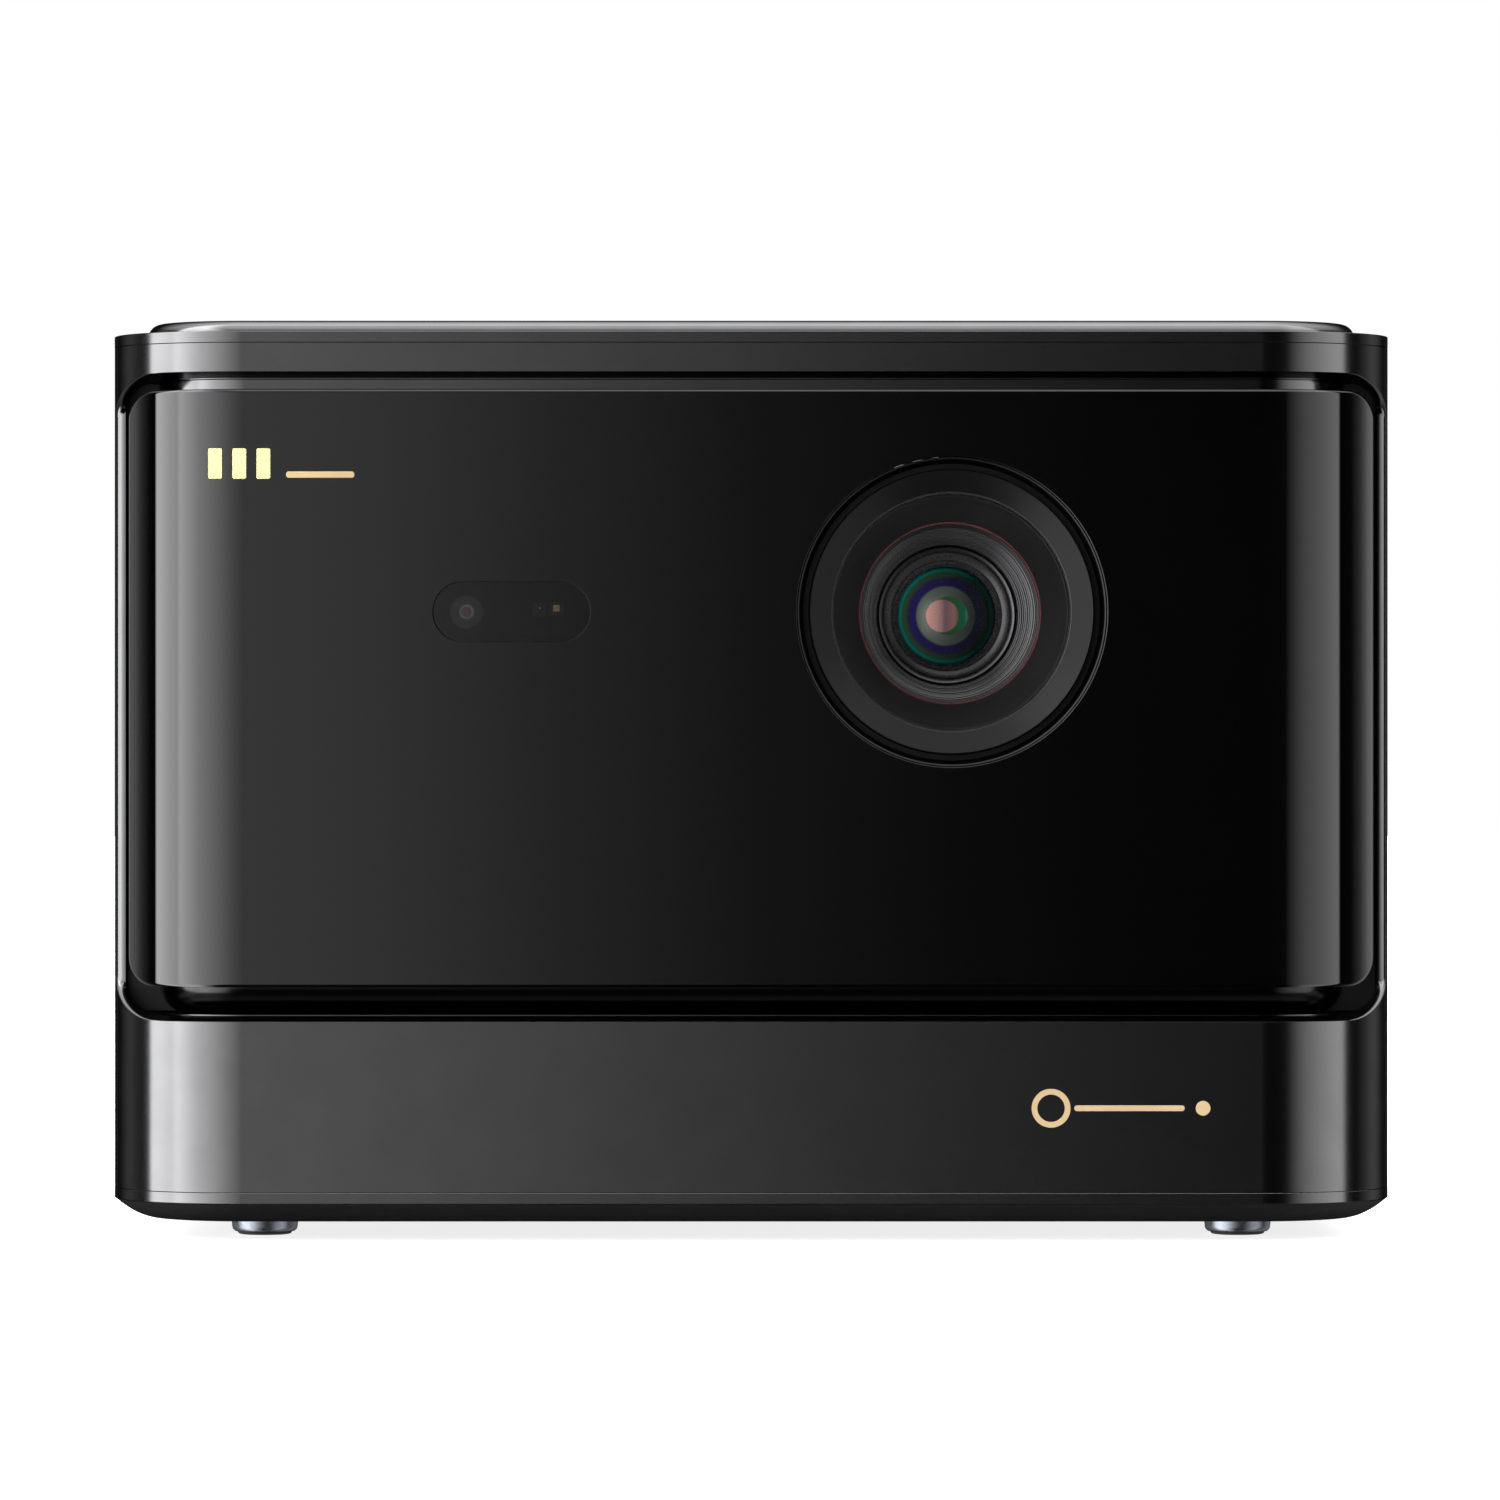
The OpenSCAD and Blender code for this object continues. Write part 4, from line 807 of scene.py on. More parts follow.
def build_neck():
    shape = Shape()
    inset, fillet, start_z = 8.5, 4.6, 49.4
    z0, z1 = NECK_LO.z, NECK_HI.z
    end_y = -78.0
    steps = 24

    def section(d, z):
        """The neck's plan from its left rear edge round the front to its right rear edge."""
        r = CORNER - d
        left = [(-ARC_X - r * math.cos(math.radians(a)), -ARC_Y - r * math.sin(math.radians(a)))
                for a in [90 * k / steps for k in range(steps + 1)]]
        right = [(-x, y) for x, y in reversed(left)]
        return [(x, y, z) for x, y in [(left[0][0], end_y)] + left + right + [(right[-1][0], end_y)]]

    rows = []
    for k in range(10):
        a = math.pi / 2 * k / 9
        rows.append(section(inset + fillet * (1 - math.sin(a)), z0 + (start_z - z0) * (1 - math.cos(a))))
    rows.append(section(inset, z1))
    back = [section(inset + 2.5, z1), section(inset + 2.5, z0 + 2.5)]
    # The wall above the fillet is split so that its flat front can carry the lens and sensor holes
    wall_low, wall_top = rows[-2], rows[-1]
    # The fillet and the lower wall take a darker copy of the neck metal as painted shade under the glass
    shape.slot = 1
    shape.rows(rows[:-1], closed=False)
    flat_a = 1 + steps
    count = len(wall_low)
    lens_hole = face_at(circle(LENS_X, LENS_Z, 31, 96), -96.0)
    pill_hole = face_at(centred(PILL_X, LENS_Z, 16.5, 7, 6.9, 10), -96.0)
    belt = section(inset, LENS_Z - 36)
    shape.strip(wall_low, belt, closed=False)
    shape.slot = 0
    for i in range(count - 1):
        quad = [belt[i], belt[i + 1], wall_top[i + 1], wall_top[i]]
        if i == flat_a:
            shape.cap(quad, lens_hole, pill_hole)
        else:
            shape.face(quad)
    for i in range(count - 1):
        quad = [back[1][i], back[1][i + 1], back[0][i + 1], back[0][i]]
        if i == flat_a:
            shape.cap(quad, [(x, y + 2.5, z) for x, y, z in lens_hole], [(x, y + 2.5, z) for x, y, z in pill_hole])
        else:
            shape.face(quad)
    for hole in (lens_hole, pill_hole):
        shape.strip(hole, [(x, y + 2.5, z) for x, y, z in hole])
    shape.strip(rows[-1], back[0], closed=False)
    shape.strip(rows[0], back[1], closed=False)
    shape.build("neck", "chassis", "front_bezel", "bezel_plastic", [MAT["bezel_plastic"], MAT["neck_black"]])

    # The black carrier that the glass is glued to, and the flange that closes the gap to the shell
    carrier = Shape()
    low, high = GLASS_LO.z + 3.5, GLASS_HI.z - 3.5
    xs = front_xs(PORTAL_FLAT + 5.2, 4.6)
    face_row = lambda d, z: [wall_point(x, d, z) for x, _ in xs]
    rows = [face_row(3.1, low), face_row(3.1, high), face_row(6.9, high), face_row(6.9, low)]
    lens_a = face_at(circle(LENS_X, LENS_Z, 30.8, 96), -99.9)
    pill_a = face_at(centred(PILL_X, LENS_Z, 16.5, 7, 6.9, 10), -99.9)
    middle = [i for i in range(len(xs) - 1) if xs[i][0] <= -ARC_X + 0.01 and xs[i + 1][0] >= ARC_X - 0.01][0]
    for i in range(len(xs) - 1):
        for a, b, y in ((rows[0], rows[1], -99.9), (rows[3], rows[2], -96.1)):
            quad = [a[i], a[i + 1], b[i + 1], b[i]]
            if i == middle:
                carrier.cap(quad, [(x, y, z) for x, _, z in lens_a], [(x, y, z) for x, _, z in pill_a])
            else:
                carrier.face(quad)
    for hole in (lens_a, pill_a):
        carrier.strip([(x, -99.9, z) for x, _, z in hole], [(x, -96.1, z) for x, _, z in hole])
    carrier.strip(rows[1], rows[2], closed=False)
    carrier.strip(rows[3], rows[0], closed=False)
    for end in (0, -1):
        carrier.face([row[end] for row in rows])
    flange = 113.0
    panel(carrier, lambda g: rrect(-121.1, 121.1, z0, z1, 0.6, 3, g),
          [lambda g: rrect(-flange, flange, z0 + 2.6, z1 - 2.6, 3, 6, g)], front_place(-80.5), 2.4, 0.2)
    carrier.build("glass_carrier", "chassis", None, "bezel_plastic", [MAT["baffle_black"]])


def wall_point(x, depth, z):
    """A point on the glass face's plan curve at x, moved back along the curve's normal by depth."""
    inset = FRONT_IN
    arc = CORNER - inset
    over = max(abs(x) - ARC_X, 0.0)
    nx = math.copysign(over / arc, x)
    ny = -math.sqrt(max(1 - (over / arc) ** 2, 0.0))
    y = -ARC_Y + ny * arc if over > 0 else FRONT_Y + inset
    return (x - nx * depth, y - ny * depth, z)


FRONT_IN = GLASS_LO.y - FRONT_Y
GLASS_T = 3.0
GLASS_CORNER = 5.5


def glass_outline(grow, steps=12):
    """The glass seen from the front: rounded rectangle, its long sides sampled closely where the plan curves."""
    z0, z1, r = GLASS_LO.z - grow, GLASS_HI.z + grow, GLASS_CORNER + grow
    flat = GLASS_HI.x - GLASS_CORNER
    xs = []
    arc = CORNER - FRONT_IN
    a_flat = math.asin((flat - ARC_X) / arc)
    for k in range(17):
        xs.append((ARC_X + arc * math.sin(a_flat * k / 16), 0.0))
    for k in range(1, steps + 1):
        phi = math.pi / 2 * (1 - k / steps)
        xs.append((flat + r * math.cos(phi), r * (1 - math.sin(phi))))
    xs = [(-x, rise) for x, rise in reversed(xs)] + xs
    return xs, z0, z1


def build_glass():
    shape = Shape()
    rows = []
    # depth behind the face, and how far the outline is drawn in there
    edge = [(0.0, -0.75), (0.0, -0.55), (0.045, -0.40), (0.13, -0.20), (0.24, -0.05), (0.42, 0.0),
            (GLASS_T - 0.2, 0.0), (GLASS_T, -0.2)]
    for depth, grow in edge:
        xs, z0, z1 = glass_outline(grow)
        lower = [wall_point(x, depth, z0 + rise) for x, rise in xs]
        upper = [wall_point(x, depth, z1 - rise) for x, rise in reversed(xs)]
        rows.append(lower + upper)
    shape.rows(rows)
    holes = [lambda g: circle(LENS_X, LENS_Z, 29.6, 128, g),
             lambda g: rrect(PILL_LO.x - 0.06, PILL_HI.x + 0.06, PILL_LO.z - 0.06, PILL_HI.z + 0.06, 5.74, 14, g)]
    hole_rows = []
    for loop in holes:
        wide = 0.12 if loop is holes[0] else 0.01
        quarter = [math.pi / 2 * k / 8 for k in range(9)]
        levels = [(wide + 0.15, 0.0)] + [(wide * (1 - math.sin(a)), wide * (1 - math.cos(a))) for a in quarter]
        levels.append((0.0, GLASS_T))
        hole_rows.append([face_at(loop(g), FRONT_Y + FRONT_IN + d) for g, d in levels])
        shape.rows(hole_rows[-1])
    for row, which in ((rows[0], 0), (rows[-1], -1)):
        count = len(row) // 2
        lower, upper = row[:count], row[count:][::-1]
        for i in range(count - 1):
            quad = [lower[i], lower[i + 1], upper[i + 1], upper[i]]
            if lower[i][0] < -ARC_X + 0.01 and lower[i + 1][0] > ARC_X - 0.01:
                shape.cap(quad, *[h[which] for h in hole_rows])
            else:
                shape.face(quad)
    shape.build("wrap_glass", "chassis", "front_glass", "front_glass")

    shape = Shape()
    panel(shape, lambda g: rrect(PILL_LO.x, PILL_HI.x, PILL_LO.z, PILL_HI.z, 5.7, 14, g), [],
          front_place(PILL_LO.y), 1.0, 0.01, 1)
    shape.build("sensor_pane", "chassis", "sensor_window", "window_glass")


def build_sensors():
    lo, hi = node_box("camera_module")
    cx, cz, face = (lo.x + hi.x) / 2, (lo.z + hi.z) / 2, PILL_HI.y - 1.6
    axis = lambda u, v, h: (cx + u, face - h, cz + v)
    shape = Shape()
    lathe(shape, [(0, -6), (4.3, -6), (4.3, -2.7), (4.2, -2.6), (3.25, -2.6)], axis, 64)
    shape.slot = 1
    lathe(shape, [(3.25, -2.6), (3.2, -0.2), (3.1, -0.05), (2.9, 0.0), (1.5, 0.0), (1.42, -0.12)], axis, 64)
    shape.slot = 2
    lathe(shape, [(1.42, -0.12), (1.36, -0.02), (1.2, 0.0), (1.0, -0.06), (0.94, -0.3)], axis, 48)
    # The small lens's pink colour is a painted reflection from its coating
    shape.slot = 3
    lathe(shape, [(0.94, -0.3), (0.8, -0.2), (0.5, -0.1), (0, -0.06)], axis, 48)
    shape.build("camera_barrel", "chassis", "camera_module", "module_plastic",
                [MAT["baffle_black"], MAT["camera_grey"], MAT["camera_rim"], MAT["camera_eye"]])
    shape = Shape()
    lo, hi = node_box("tof_sensor")
    panel(shape, lambda g: rrect(lo.x, hi.x, lo.z, hi.z, 0.5, 3, g), [], front_place(hi.y - 1.2), 1.2, 0.1)
    for i, x in enumerate((-40.3, -37.1)):
        z = LENS_Z + 0.5
        shape.slot = 1
        panel(shape, lambda g, x=x, z=z: centred(x, z, 1.3, 1.3, 0.2, 3, g), [],
              front_place(face + 0.1), 4.0, 0.1)
        shape.slot = 2 + i
        half = 0.62 if i else 0.16
        panel(shape, lambda g, x=x, z=z, h=half: rrect(x - h, x + h, z + 0.2 - h, z + 0.2 + h, 0.05, 2, g), [],
              front_place(face + 0.04), 0.3, 0.03)
    shape.build("distance_sensor", "chassis", "tof_sensor", "module_plastic",
                [MAT["baffle_black"], MAT["emitter_black"], MAT["led_white"], MAT["emitter_gold"]])


def build_marks():
    lo, hi = node_box("front_mark")
    face = GLASS_LO.y
    shape = Shape()
    for i in range(3):
        x = lo.x + 1.3 + i * 4.6
        panel(shape, lambda g, x=x: rrect(x - 1.3, x + 1.3, lo.z, hi.z, 0.35, 4, g), [], front_place(face - 0.12), 0.12,
              0.04, 1)
    shape.build("mark_bars", "chassis", "front_mark", "mark_gold")
    shape = Shape()
    mid = lo.z + 0.8
    panel(shape, lambda g: rrect(hi.x - 13, hi.x, mid - 0.6, mid + 0.6, 0.55, 4, g), [], front_place(face - 0.12), 0.12,
          0.04, 1)
    shape.build("mark_line", "chassis", None, "mark_gold", [MAT["inlay_gold"]])
    lo, hi = node_box("band_inlay")
    z = (lo.z + hi.z) / 2
    face = FRONT_Y
    shape = Shape()
    ring_x = lo.x + 3.7
    place = front_place(face)
    panel(shape, lambda g: circle(ring_x, z, 3.7, 64, g), [lambda g: circle(ring_x, z, 2.6, 64, g)], place, 0.3,
          0.03, 1)
    panel(shape, lambda g: rrect(ring_x + 4.4, ring_x + 25.4, z - 0.55, z + 0.55, 0.5, 4, g), [], place, 0.3, 0.03, 1)
    panel(shape, lambda g: circle(hi.x - 1.4, z, 1.4, 40, g), [], place, 0.3, 0.03, 1)
    shape.build("inlay", "chassis", "band_inlay", "inlay_gold")


# ---- lens ----


def build_lens():
    shape = Shape()
    lathe(shape, [(29.5, 96.3), (29.5, 102.6), (29.35, 102.75), (29.1, 102.6), (28.9, 99.4), (28.3, 98.6), (27.3, 98.6),
                  (27.1, 99.2), (27.05, 101.6)], lens_place, 160)
    shape.slot = 1
    face_in, face_out = (22.95, 99.75), (26.8, 102.3)
    profile = [(27.05, 101.6), (27.02, 102.2), (26.9, 102.34)]
    brush = 26
    for k in range(brush + 1):
        f = k / brush
        dip = 0.03 if k % 2 else 0.0
        profile.append((face_out[0] + (face_in[0] - face_out[0]) * f,
                        face_out[1] + (face_in[1] - face_out[1]) * f - dip))
    lathe(shape, profile, lens_place, 160)
    shape.slot = 2
    lathe(shape, [face_in, (22.75, 99.72), (22.55, 99.5), (22.45, 99.1)], lens_place, 160)
    shape.slot = 0
    lathe(shape, [(22.45, 99.1), (22.4, 96.3), (29.5, 96.3)], lens_place, 160)
    shape.build("trim_ring", "chassis", "lens_trim_ring", "ring_metal",
                [MAT["recess_black"], MAT["ring_metal"], MAT["ring_edge"]])

    # Hood: a smooth cone, a fine warm line, then rounded light-trap ribs down to the throat; the noses of the inner
    # ribs take a lighter copy of the black as painted highlights
    shape = Shape()
    lathe(shape, [(22.0, 64.0), (16.9, 64.0), (19.8, 86.0), (24.4, 93.0), (26.0, 93.0), (26.0, 96.1), (22.3, 96.1),
                  (22.1, 95.9)] + [(22.1 - 4.6 * k / 6, 95.9 - 8.2 * (k / 6) ** 0.85) for k in range(1, 7)],
          lens_place, 160)
    shape.slot = 1
    lathe(shape, [(17.5, 87.7), (17.42, 87.62), (17.3, 87.5), (17.22, 87.2)], lens_place, 160)
    ribs = 11
    r0, h0, r1, h1 = 17.22, 87.2, 13.75, 65.2
    start = (r0, h0)
    for k in range(ribs):
        f = (k + 1) / ribs
        r, h = r0 + (r1 - r0) * f, h0 + (h1 - h0) * f
        depth = (h0 - h1) / ribs
        nose = 0.1 + 0.05 * (k % 3)
        shape.slot = 0
        lathe(shape, [start, (r + 0.28, h + depth * 0.55), (r + 0.3, h + nose + 0.02)], lens_place, 160)
        # Inner rib noses: painted highlight in a lighter copy of the baffle black
        shape.slot = 2 if k >= 2 else 0
        lathe(shape, [(r + 0.3, h + nose + 0.02), (r + 0.2, h + nose), (r + 0.07, h + nose * 0.6), (r, h)],
              lens_place, 160)
        start = (r, h)
    shape.slot = 0
    lathe(shape, [start, (13.6, 64.6), (13.5, 63.0), (13.3, 62.3), (13.3, 62.0), (22.0, 62.0), (22.0, 64.0)],
          lens_place, 160)
    shape.build("baffle_hood", "chassis", "lens_hood", "baffle_black",
                [MAT["baffle_black"], MAT["warm_line"], MAT["rib_edge"]])

    # Focusing cell: retaining ring, coated doublet behind a clear front element
    shape = Shape()
    lathe(shape, [(13.15, 59.6), (13.6, 59.7), (13.6, 60.6), (13.4, 60.8), (12.7, 60.8), (12.5, 60.55), (11.6, 60.1),
                  (10.9, 59.95), (10.7, 60.15), (10.45, 60.2), (10.2, 60.0), (9.75, 58.9), (9.6, 58.6), (9.6, 58.3),
                  (13.15, 58.3), (13.15, 59.6)], lens_place, 144)
    shape.build("retaining_ring", "lens_cell", "lens_retainer", "lens_metal", [MAT["retainer"]])
    shape = Shape()
    lathe(shape, [(13.32, 62.05), (12.9, 62.05), (12.35, 62.15), (12.25, 62.3), (12.4, 62.5), (12.85, 62.75),
                  (13.2, 62.85), (13.32, 62.7), (13.32, 62.05)], lens_place, 144)
    shape.build("throat_ring", "chassis", None, "lens_metal", [MAT["bright_ring"]])
    shape = Shape()
    sphere_r, centre_h = 22.0, 38.0
    dome = [(0, centre_h + sphere_r)]
    dome += [(9.55 * k / 14, centre_h + math.sqrt(sphere_r ** 2 - (9.55 * k / 14) ** 2)) for k in range(1, 15)]
    dome += [(9.55, 57.4), (0, 57.4)]
    lathe(shape, dome, lens_place, 128)
    shape.build("front_element", "lens_cell", "front_lens", "lens_glass")
    # The coated element behind it carries painted reflections and painted side light, and glows faintly
    shape = Shape()
    r2, c2 = 26.0, 31.2
    dome = [(0, c2 + r2)] + [(9.9 * k / 14, c2 + math.sqrt(r2 ** 2 - (9.9 * k / 14) ** 2)) for k in range(1, 15)]
    dome += [(9.9, 54.2), (0, 54.2)]
    lathe(shape, dome, lens_place, 128)
    shape.build("coated_element", "lens_cell", None, "lens_glass", [PAINTED_REFLECTION_COATING])


# ---- vents ----


def fin_reach(u, u0, u1, corner):
    """How much a fin at u is shortened at each end by the opening's rounded corner."""
    near = min(u - u0, u1 - u)
    if near >= corner:
        return 0.0
    return corner - math.sqrt(max(corner ** 2 - (corner - near) ** 2, 0.0))


def build_grille(name, replaced, u0, u1, place):
    """Upright fins with rounded noses in a frame, with three stiffeners behind them."""
    pitch, width = 4.0, 2.0
    shape = Shape()
    count = int((u1 - u0) / pitch)
    start = (u0 + u1) / 2 - (count - 1) * pitch / 2
    nose = [(-1.0, 4.0), (-1.0, 1.9), (-0.86, 1.4), (-0.5, 1.08), (0.0, 1.0), (0.5, 1.08), (0.86, 1.4), (1.0, 1.9),
            (1.0, 4.0)]
    for i in range(count):
        u = start + i * pitch
        cut = fin_reach(u - math.copysign(width / 2, (u0 + u1) / 2 - u), u0, u1, VENT_CORNER) + 0.3
        low, high = VENT_LOW + cut, VENT_HIGH - cut
        bottom = [place(u + du, low, depth) for du, depth in nose]
        top = [place(u + du, high, depth) for du, depth in nose]
        shape.strip(bottom, top)
        shape.face(bottom)
        shape.face(top)
    panel(shape, lambda g: rrect(u0 - 3, u1 + 3, VENT_LOW - 3, VENT_HIGH + 3, 9, 6, g),
          [lambda g: rrect(u0 + 1, u1 - 1, VENT_LOW + 1, VENT_HIGH - 1, 7, 6, g)],
          lambda u, v, d: place(u, v, 1.8 + d), 3.2, 0.2)
    for k in (1, 2, 3):
        z = VENT_LOW + k * (VENT_HIGH - VENT_LOW) / 4
        panel(shape, lambda g, z=z: rrect(u0 + 0.2, u1 - 0.2, z - 1, z + 1, 0.4, 3, g), [],
              lambda u, v, d: place(u, v, 3.4 + d), 1.6, 0.2)
    shape.build(name, "chassis", replaced, "grille_plastic")


def build_vents():
    for side, label in ((-1, "left"), (1, "right")):
        build_grille("fins_" + label, "side_grille_" + label, *SIDE_OPEN, side_place(SIDE_X, side))
    build_grille("fins_rear", "rear_grille", *REAR_OPEN, rear_place(BACK_Y))


# ---- fans and speakers, seen through the fins ----


FAN_X, FAN_Y, FAN_Z = 96.0, 22.0, 104.0
CONE_Y, CONE_Z = -52.0, 70.0


def build_fans():
    for side, label in ((-1, "left"), (1, "right")):

        def place(u, v, h, side=side):
            return (side * (FAN_X + h), FAN_Y + u, FAN_Z + v)

        shape = Shape()
        lathe(shape, [(0, 3.4), (15.4, 3.4), (15.5, 3.8), (15.5, 16.8), (15.2, 17.5), (14.4, 17.8), (9, 17.8),
                      (8.6, 17.5), (0, 17.5)], place, 72)
        blades, rows = 7, 9
        for b in range(blades):
            sections = []
            for k in range(rows):
                f = k / (rows - 1)
                r = 15.2 + (37.2 - 15.2) * f
                sweep = 0.55 * f * f
                pitch = math.radians(46 - 16 * f)
                chord = 15.5 + 6.0 * f
                top, bottom = [], []
                for j in range(7):
                    s = j / 6 - 0.5
                    camber = 1.5 * (1 - 4 * s * s)
                    along = s * chord
                    thick = 0.62 * (1 - (2 * s) ** 4) + 0.12
                    for row, off in ((top, thick), (bottom, -thick)):
                        tang = along * math.cos(pitch) - (camber + off) * math.sin(pitch)
                        axial = along * math.sin(pitch) + (camber + off) * math.cos(pitch)
                        ang = 2 * math.pi * b / blades + sweep + tang / r
                        axial = max(min(axial, 6.6), -6.6)
                        row.append(place(r * math.cos(ang), r * math.sin(ang), 10.4 + axial))
                sections.append(top + bottom[::-1])
            shape.rows(sections)
            shape.face(sections[0])
            shape.face(sections[-1])
        shape.build("fan_blades_" + label, "fan_" + label, "fan_rotor_" + label, "fan_plastic")

        shape = Shape()

        def cone_place(u, v, h, side=side):
            return (side * h, CONE_Y + u, CONE_Z + v)

        cone = [(6.2, 98), (6.8, 98), (6.8, 104.4)]
        cone += [(6.8 + 11.4 * (k / 8), 104.4 + 8.4 * (k / 8) ** 0.8) for k in range(1, 9)]
        cone += [(18.6, 113.1), (18.6, 113.8), (18.2, 114.0), (17.5, 113.6)]
        cone += [(17.5 - 10.2 * (k / 8), 105.5 + 8.1 * (1 - k / 8) ** 0.8) for k in range(1, 9)]
        cone += [(7.2, 105.6), (6.6, 106.1)]
        cone += [(6.4 * math.cos(math.radians(a)), 106.1 + 2.0 * math.sin(math.radians(a)))
                 for a in (10, 25, 40, 55, 70, 82)]
        cone += [(0, 108.1), (0, 106.6), (6.2, 104.8), (6.2, 98)]
        lathe(shape, cone, cone_place, 72)
        shape.build("driver_cone_" + label, "cone_" + label, "speaker_cone_" + label, "cone_fibre")

        shape = Shape()
        roll = [(18.75, 113.4)]
        roll += [(19.35 - 0.6 * math.cos(math.radians(a)), 113.5 + 0.75 * math.sin(math.radians(a)))
                 for a in range(0, 181, 20)]
        roll += [(20.4, 113.4), (21.5, 113.4), (21.5, 112.9), (18.75, 112.9), (18.75, 113.4)]
        lathe(shape, roll, cone_place, 72)
        shape.build("cone_surround_" + label, "chassis", None, "speaker_plastic", [MAT["foot_rubber"]])


# ---- rear sockets ----

SOCKET_Z = 15.6
SOCKET_Y = 103.2


def d_shape(x, z0, w, h, grow):
    """A video socket's outline: a rectangle whose lower corners are cut."""
    cut = 1.6
    g = grow
    return [(x - w / 2 - g, z0 + h + g), (x - w / 2 - g, z0 + cut), (x - w / 2 + cut * 0.9 - g * 0.5, z0 - g),
            (x + w / 2 - cut * 0.9 + g * 0.5, z0 - g), (x + w / 2 + g, z0 + cut), (x + w / 2 + g, z0 + h + g)]


def metal_can(shape, outline, depth=11.0, wall=0.45):
    """A thin sheet-metal can open to the rear."""
    rows = [face_at(outline(g), y) for g, y in
            ((0.0, SOCKET_Y - depth), (0.0, SOCKET_Y - 0.1), (-0.1, SOCKET_Y), (-wall + 0.1, SOCKET_Y),
             (-wall, SOCKET_Y - 0.1), (-wall, SOCKET_Y - depth + 0.6))]
    shape.rows(rows)
    shape.cap(rows[0])
    shape.cap(rows[-1])


def build_sockets():
    face = BACK_Y - 1.0
    dc_x, lan_x, usb_xs, hdmi_xs, opt_x, audio_x = -72.0, -48.0, (-24.0, -4.0), (18.0, 40.0), 60.0, 75.0
    holes = [lambda g: circle(dc_x, SOCKET_Z + 6, 4.25, 48, g),
             lambda g: rrect(lan_x - 8.2, lan_x + 8.2, SOCKET_Z - 0.2, SOCKET_Z + 13.7, 0.5, 3, g)]
    holes += [lambda g, x=x: rrect(x - 7, x + 7, SOCKET_Z - 0.2, SOCKET_Z + 7.2, 0.5, 3, g) for x in usb_xs]
    holes += [lambda g, x=x: rrect(x - 7.8, x + 7.8, SOCKET_Z - 0.2, SOCKET_Z + 6.2, 0.5, 3, g) for x in hdmi_xs]
    holes += [lambda g: rrect(opt_x - 4.9, opt_x + 4.9, SOCKET_Z - 0.2, SOCKET_Z + 9.7, 0.5, 3, g),
              lambda g: circle(audio_x, SOCKET_Z + 4, 3.45, 48, g)]
    shape = Shape()
    panel(shape, lambda g: rrect(-PORT_HALF + 0.2, PORT_HALF - 0.2, PORT_LOW + 0.2, PORT_HIGH - 0.2, PORT_CORNER, 8, g),
          holes, rear_place(face), 2.0, 0.22)
    shape.build("port_plate", "chassis", "port_panel", "panel_plastic")

    shape = Shape()
    for x in hdmi_xs:
        metal_can(shape, lambda g, x=x: d_shape(x, SOCKET_Z + 0.2, 14.6, 5.4, g))
    shape.slot = 1
    for x in hdmi_xs:
        bar(shape, (x - 5.6, 92.5, SOCKET_Z + 2.5), (x + 5.6, 101.9, SOCKET_Z + 3.9), 0.25)
    shape.slot = 2
    for x in hdmi_xs:
        for i in range(10):
            bar(shape, (x - 4.75 + i, 93, SOCKET_Z + 3.85), (x - 4.25 + i, 101.4, SOCKET_Z + 4.05), 0.05, 1)
            bar(shape, (x - 4.95 + i, 93, SOCKET_Z + 2.35), (x - 4.45 + i, 101.4, SOCKET_Z + 2.55), 0.05, 1)
    shape.build("video_sockets", "chassis", "hdmi_ports", "socket_metal",
                [MAT["socket_metal"], MAT["tongue_blue"], MAT["contact_gold"]])

    shape = Shape()
    for x in usb_xs:
        metal_can(shape, lambda g, x=x: rrect(x - 6.7, x + 6.7, SOCKET_Z + 0.3, SOCKET_Z + 6.8, 0.6, 3, g), 13)
        for s in (-1, 1):
            bar(shape, (x + s * 3.2 - 1.0, 97.5, SOCKET_Z + 0.75), (x + s * 3.2 + 1.0, 102.2, SOCKET_Z + 1.2), 0.2)
    shape.slot = 1
    for x in usb_xs:
        bar(shape, (x - 5.6, 91.5, SOCKET_Z + 4.2), (x + 5.6, 102.2, SOCKET_Z + 6.0), 0.25)
    shape.slot = 2
    for x in usb_xs:
        for i in range(4):
            bar(shape, (x - 4.2 + i * 2.4, 93, SOCKET_Z + 3.95), (x - 3.0 + i * 2.4, 101.4, SOCKET_Z + 4.25), 0.08, 1)
    shape.build("data_sockets", "chassis", "usb_ports", "socket_metal",
                [MAT["socket_metal"], MAT["tongue_blue"], MAT["contact_gold"]])

    shape = Shape()
    mouth = [(-6, 3.2), (6, 3.2), (6, 9.6), (3.6, 9.6), (3.6, 11.0), (2.2, 11.0), (2.2, 12.2)]
    mouth += [(-u, v) for u, v in mouth[:1:-1]]
    mouth = [(lan_x + u, SOCKET_Z + v) for u, v in mouth]
    box = lambda g: rrect(lan_x - 8, lan_x + 8, SOCKET_Z, SOCKET_Z + 13.4, 0.5, 3, g)
    rows = [face_at(box(g), y) for g, y in ((0, 84), (0, SOCKET_Y - 0.2), (-0.2, SOCKET_Y))]
    shape.rows(rows)
    shape.cap(rows[0])
    shape.cap(rows[-1], face_at(mouth, SOCKET_Y))
    shape.slot = 1
    shape.strip(face_at(mouth, SOCKET_Y), face_at(mouth, 89.5))
    shape.cap(face_at(mouth, 89.5))
    shape.slot = 2
    for i in range(8):
        x = lan_x - 3.75 + i * 1.02
        bar(shape, (x, 91, SOCKET_Z + 3.6), (x + 0.42, 101.6, SOCKET_Z + 4.2), 0.08, 1)
    shape.slot = 3
    for s in (-1, 1):
        light_x = lan_x + s * 5.4
        bar(shape, (light_x - 1.2, SOCKET_Y - 0.4, SOCKET_Z + 10.6), (light_x + 1.2, SOCKET_Y + 0.05, SOCKET_Z + 12.4),
            0.15)
    shape.build("network_socket", "chassis", "lan_port", "socket_metal",
                [MAT["socket_metal"], MAT["socket_plastic"], MAT["contact_gold"], MAT["led_white"]])

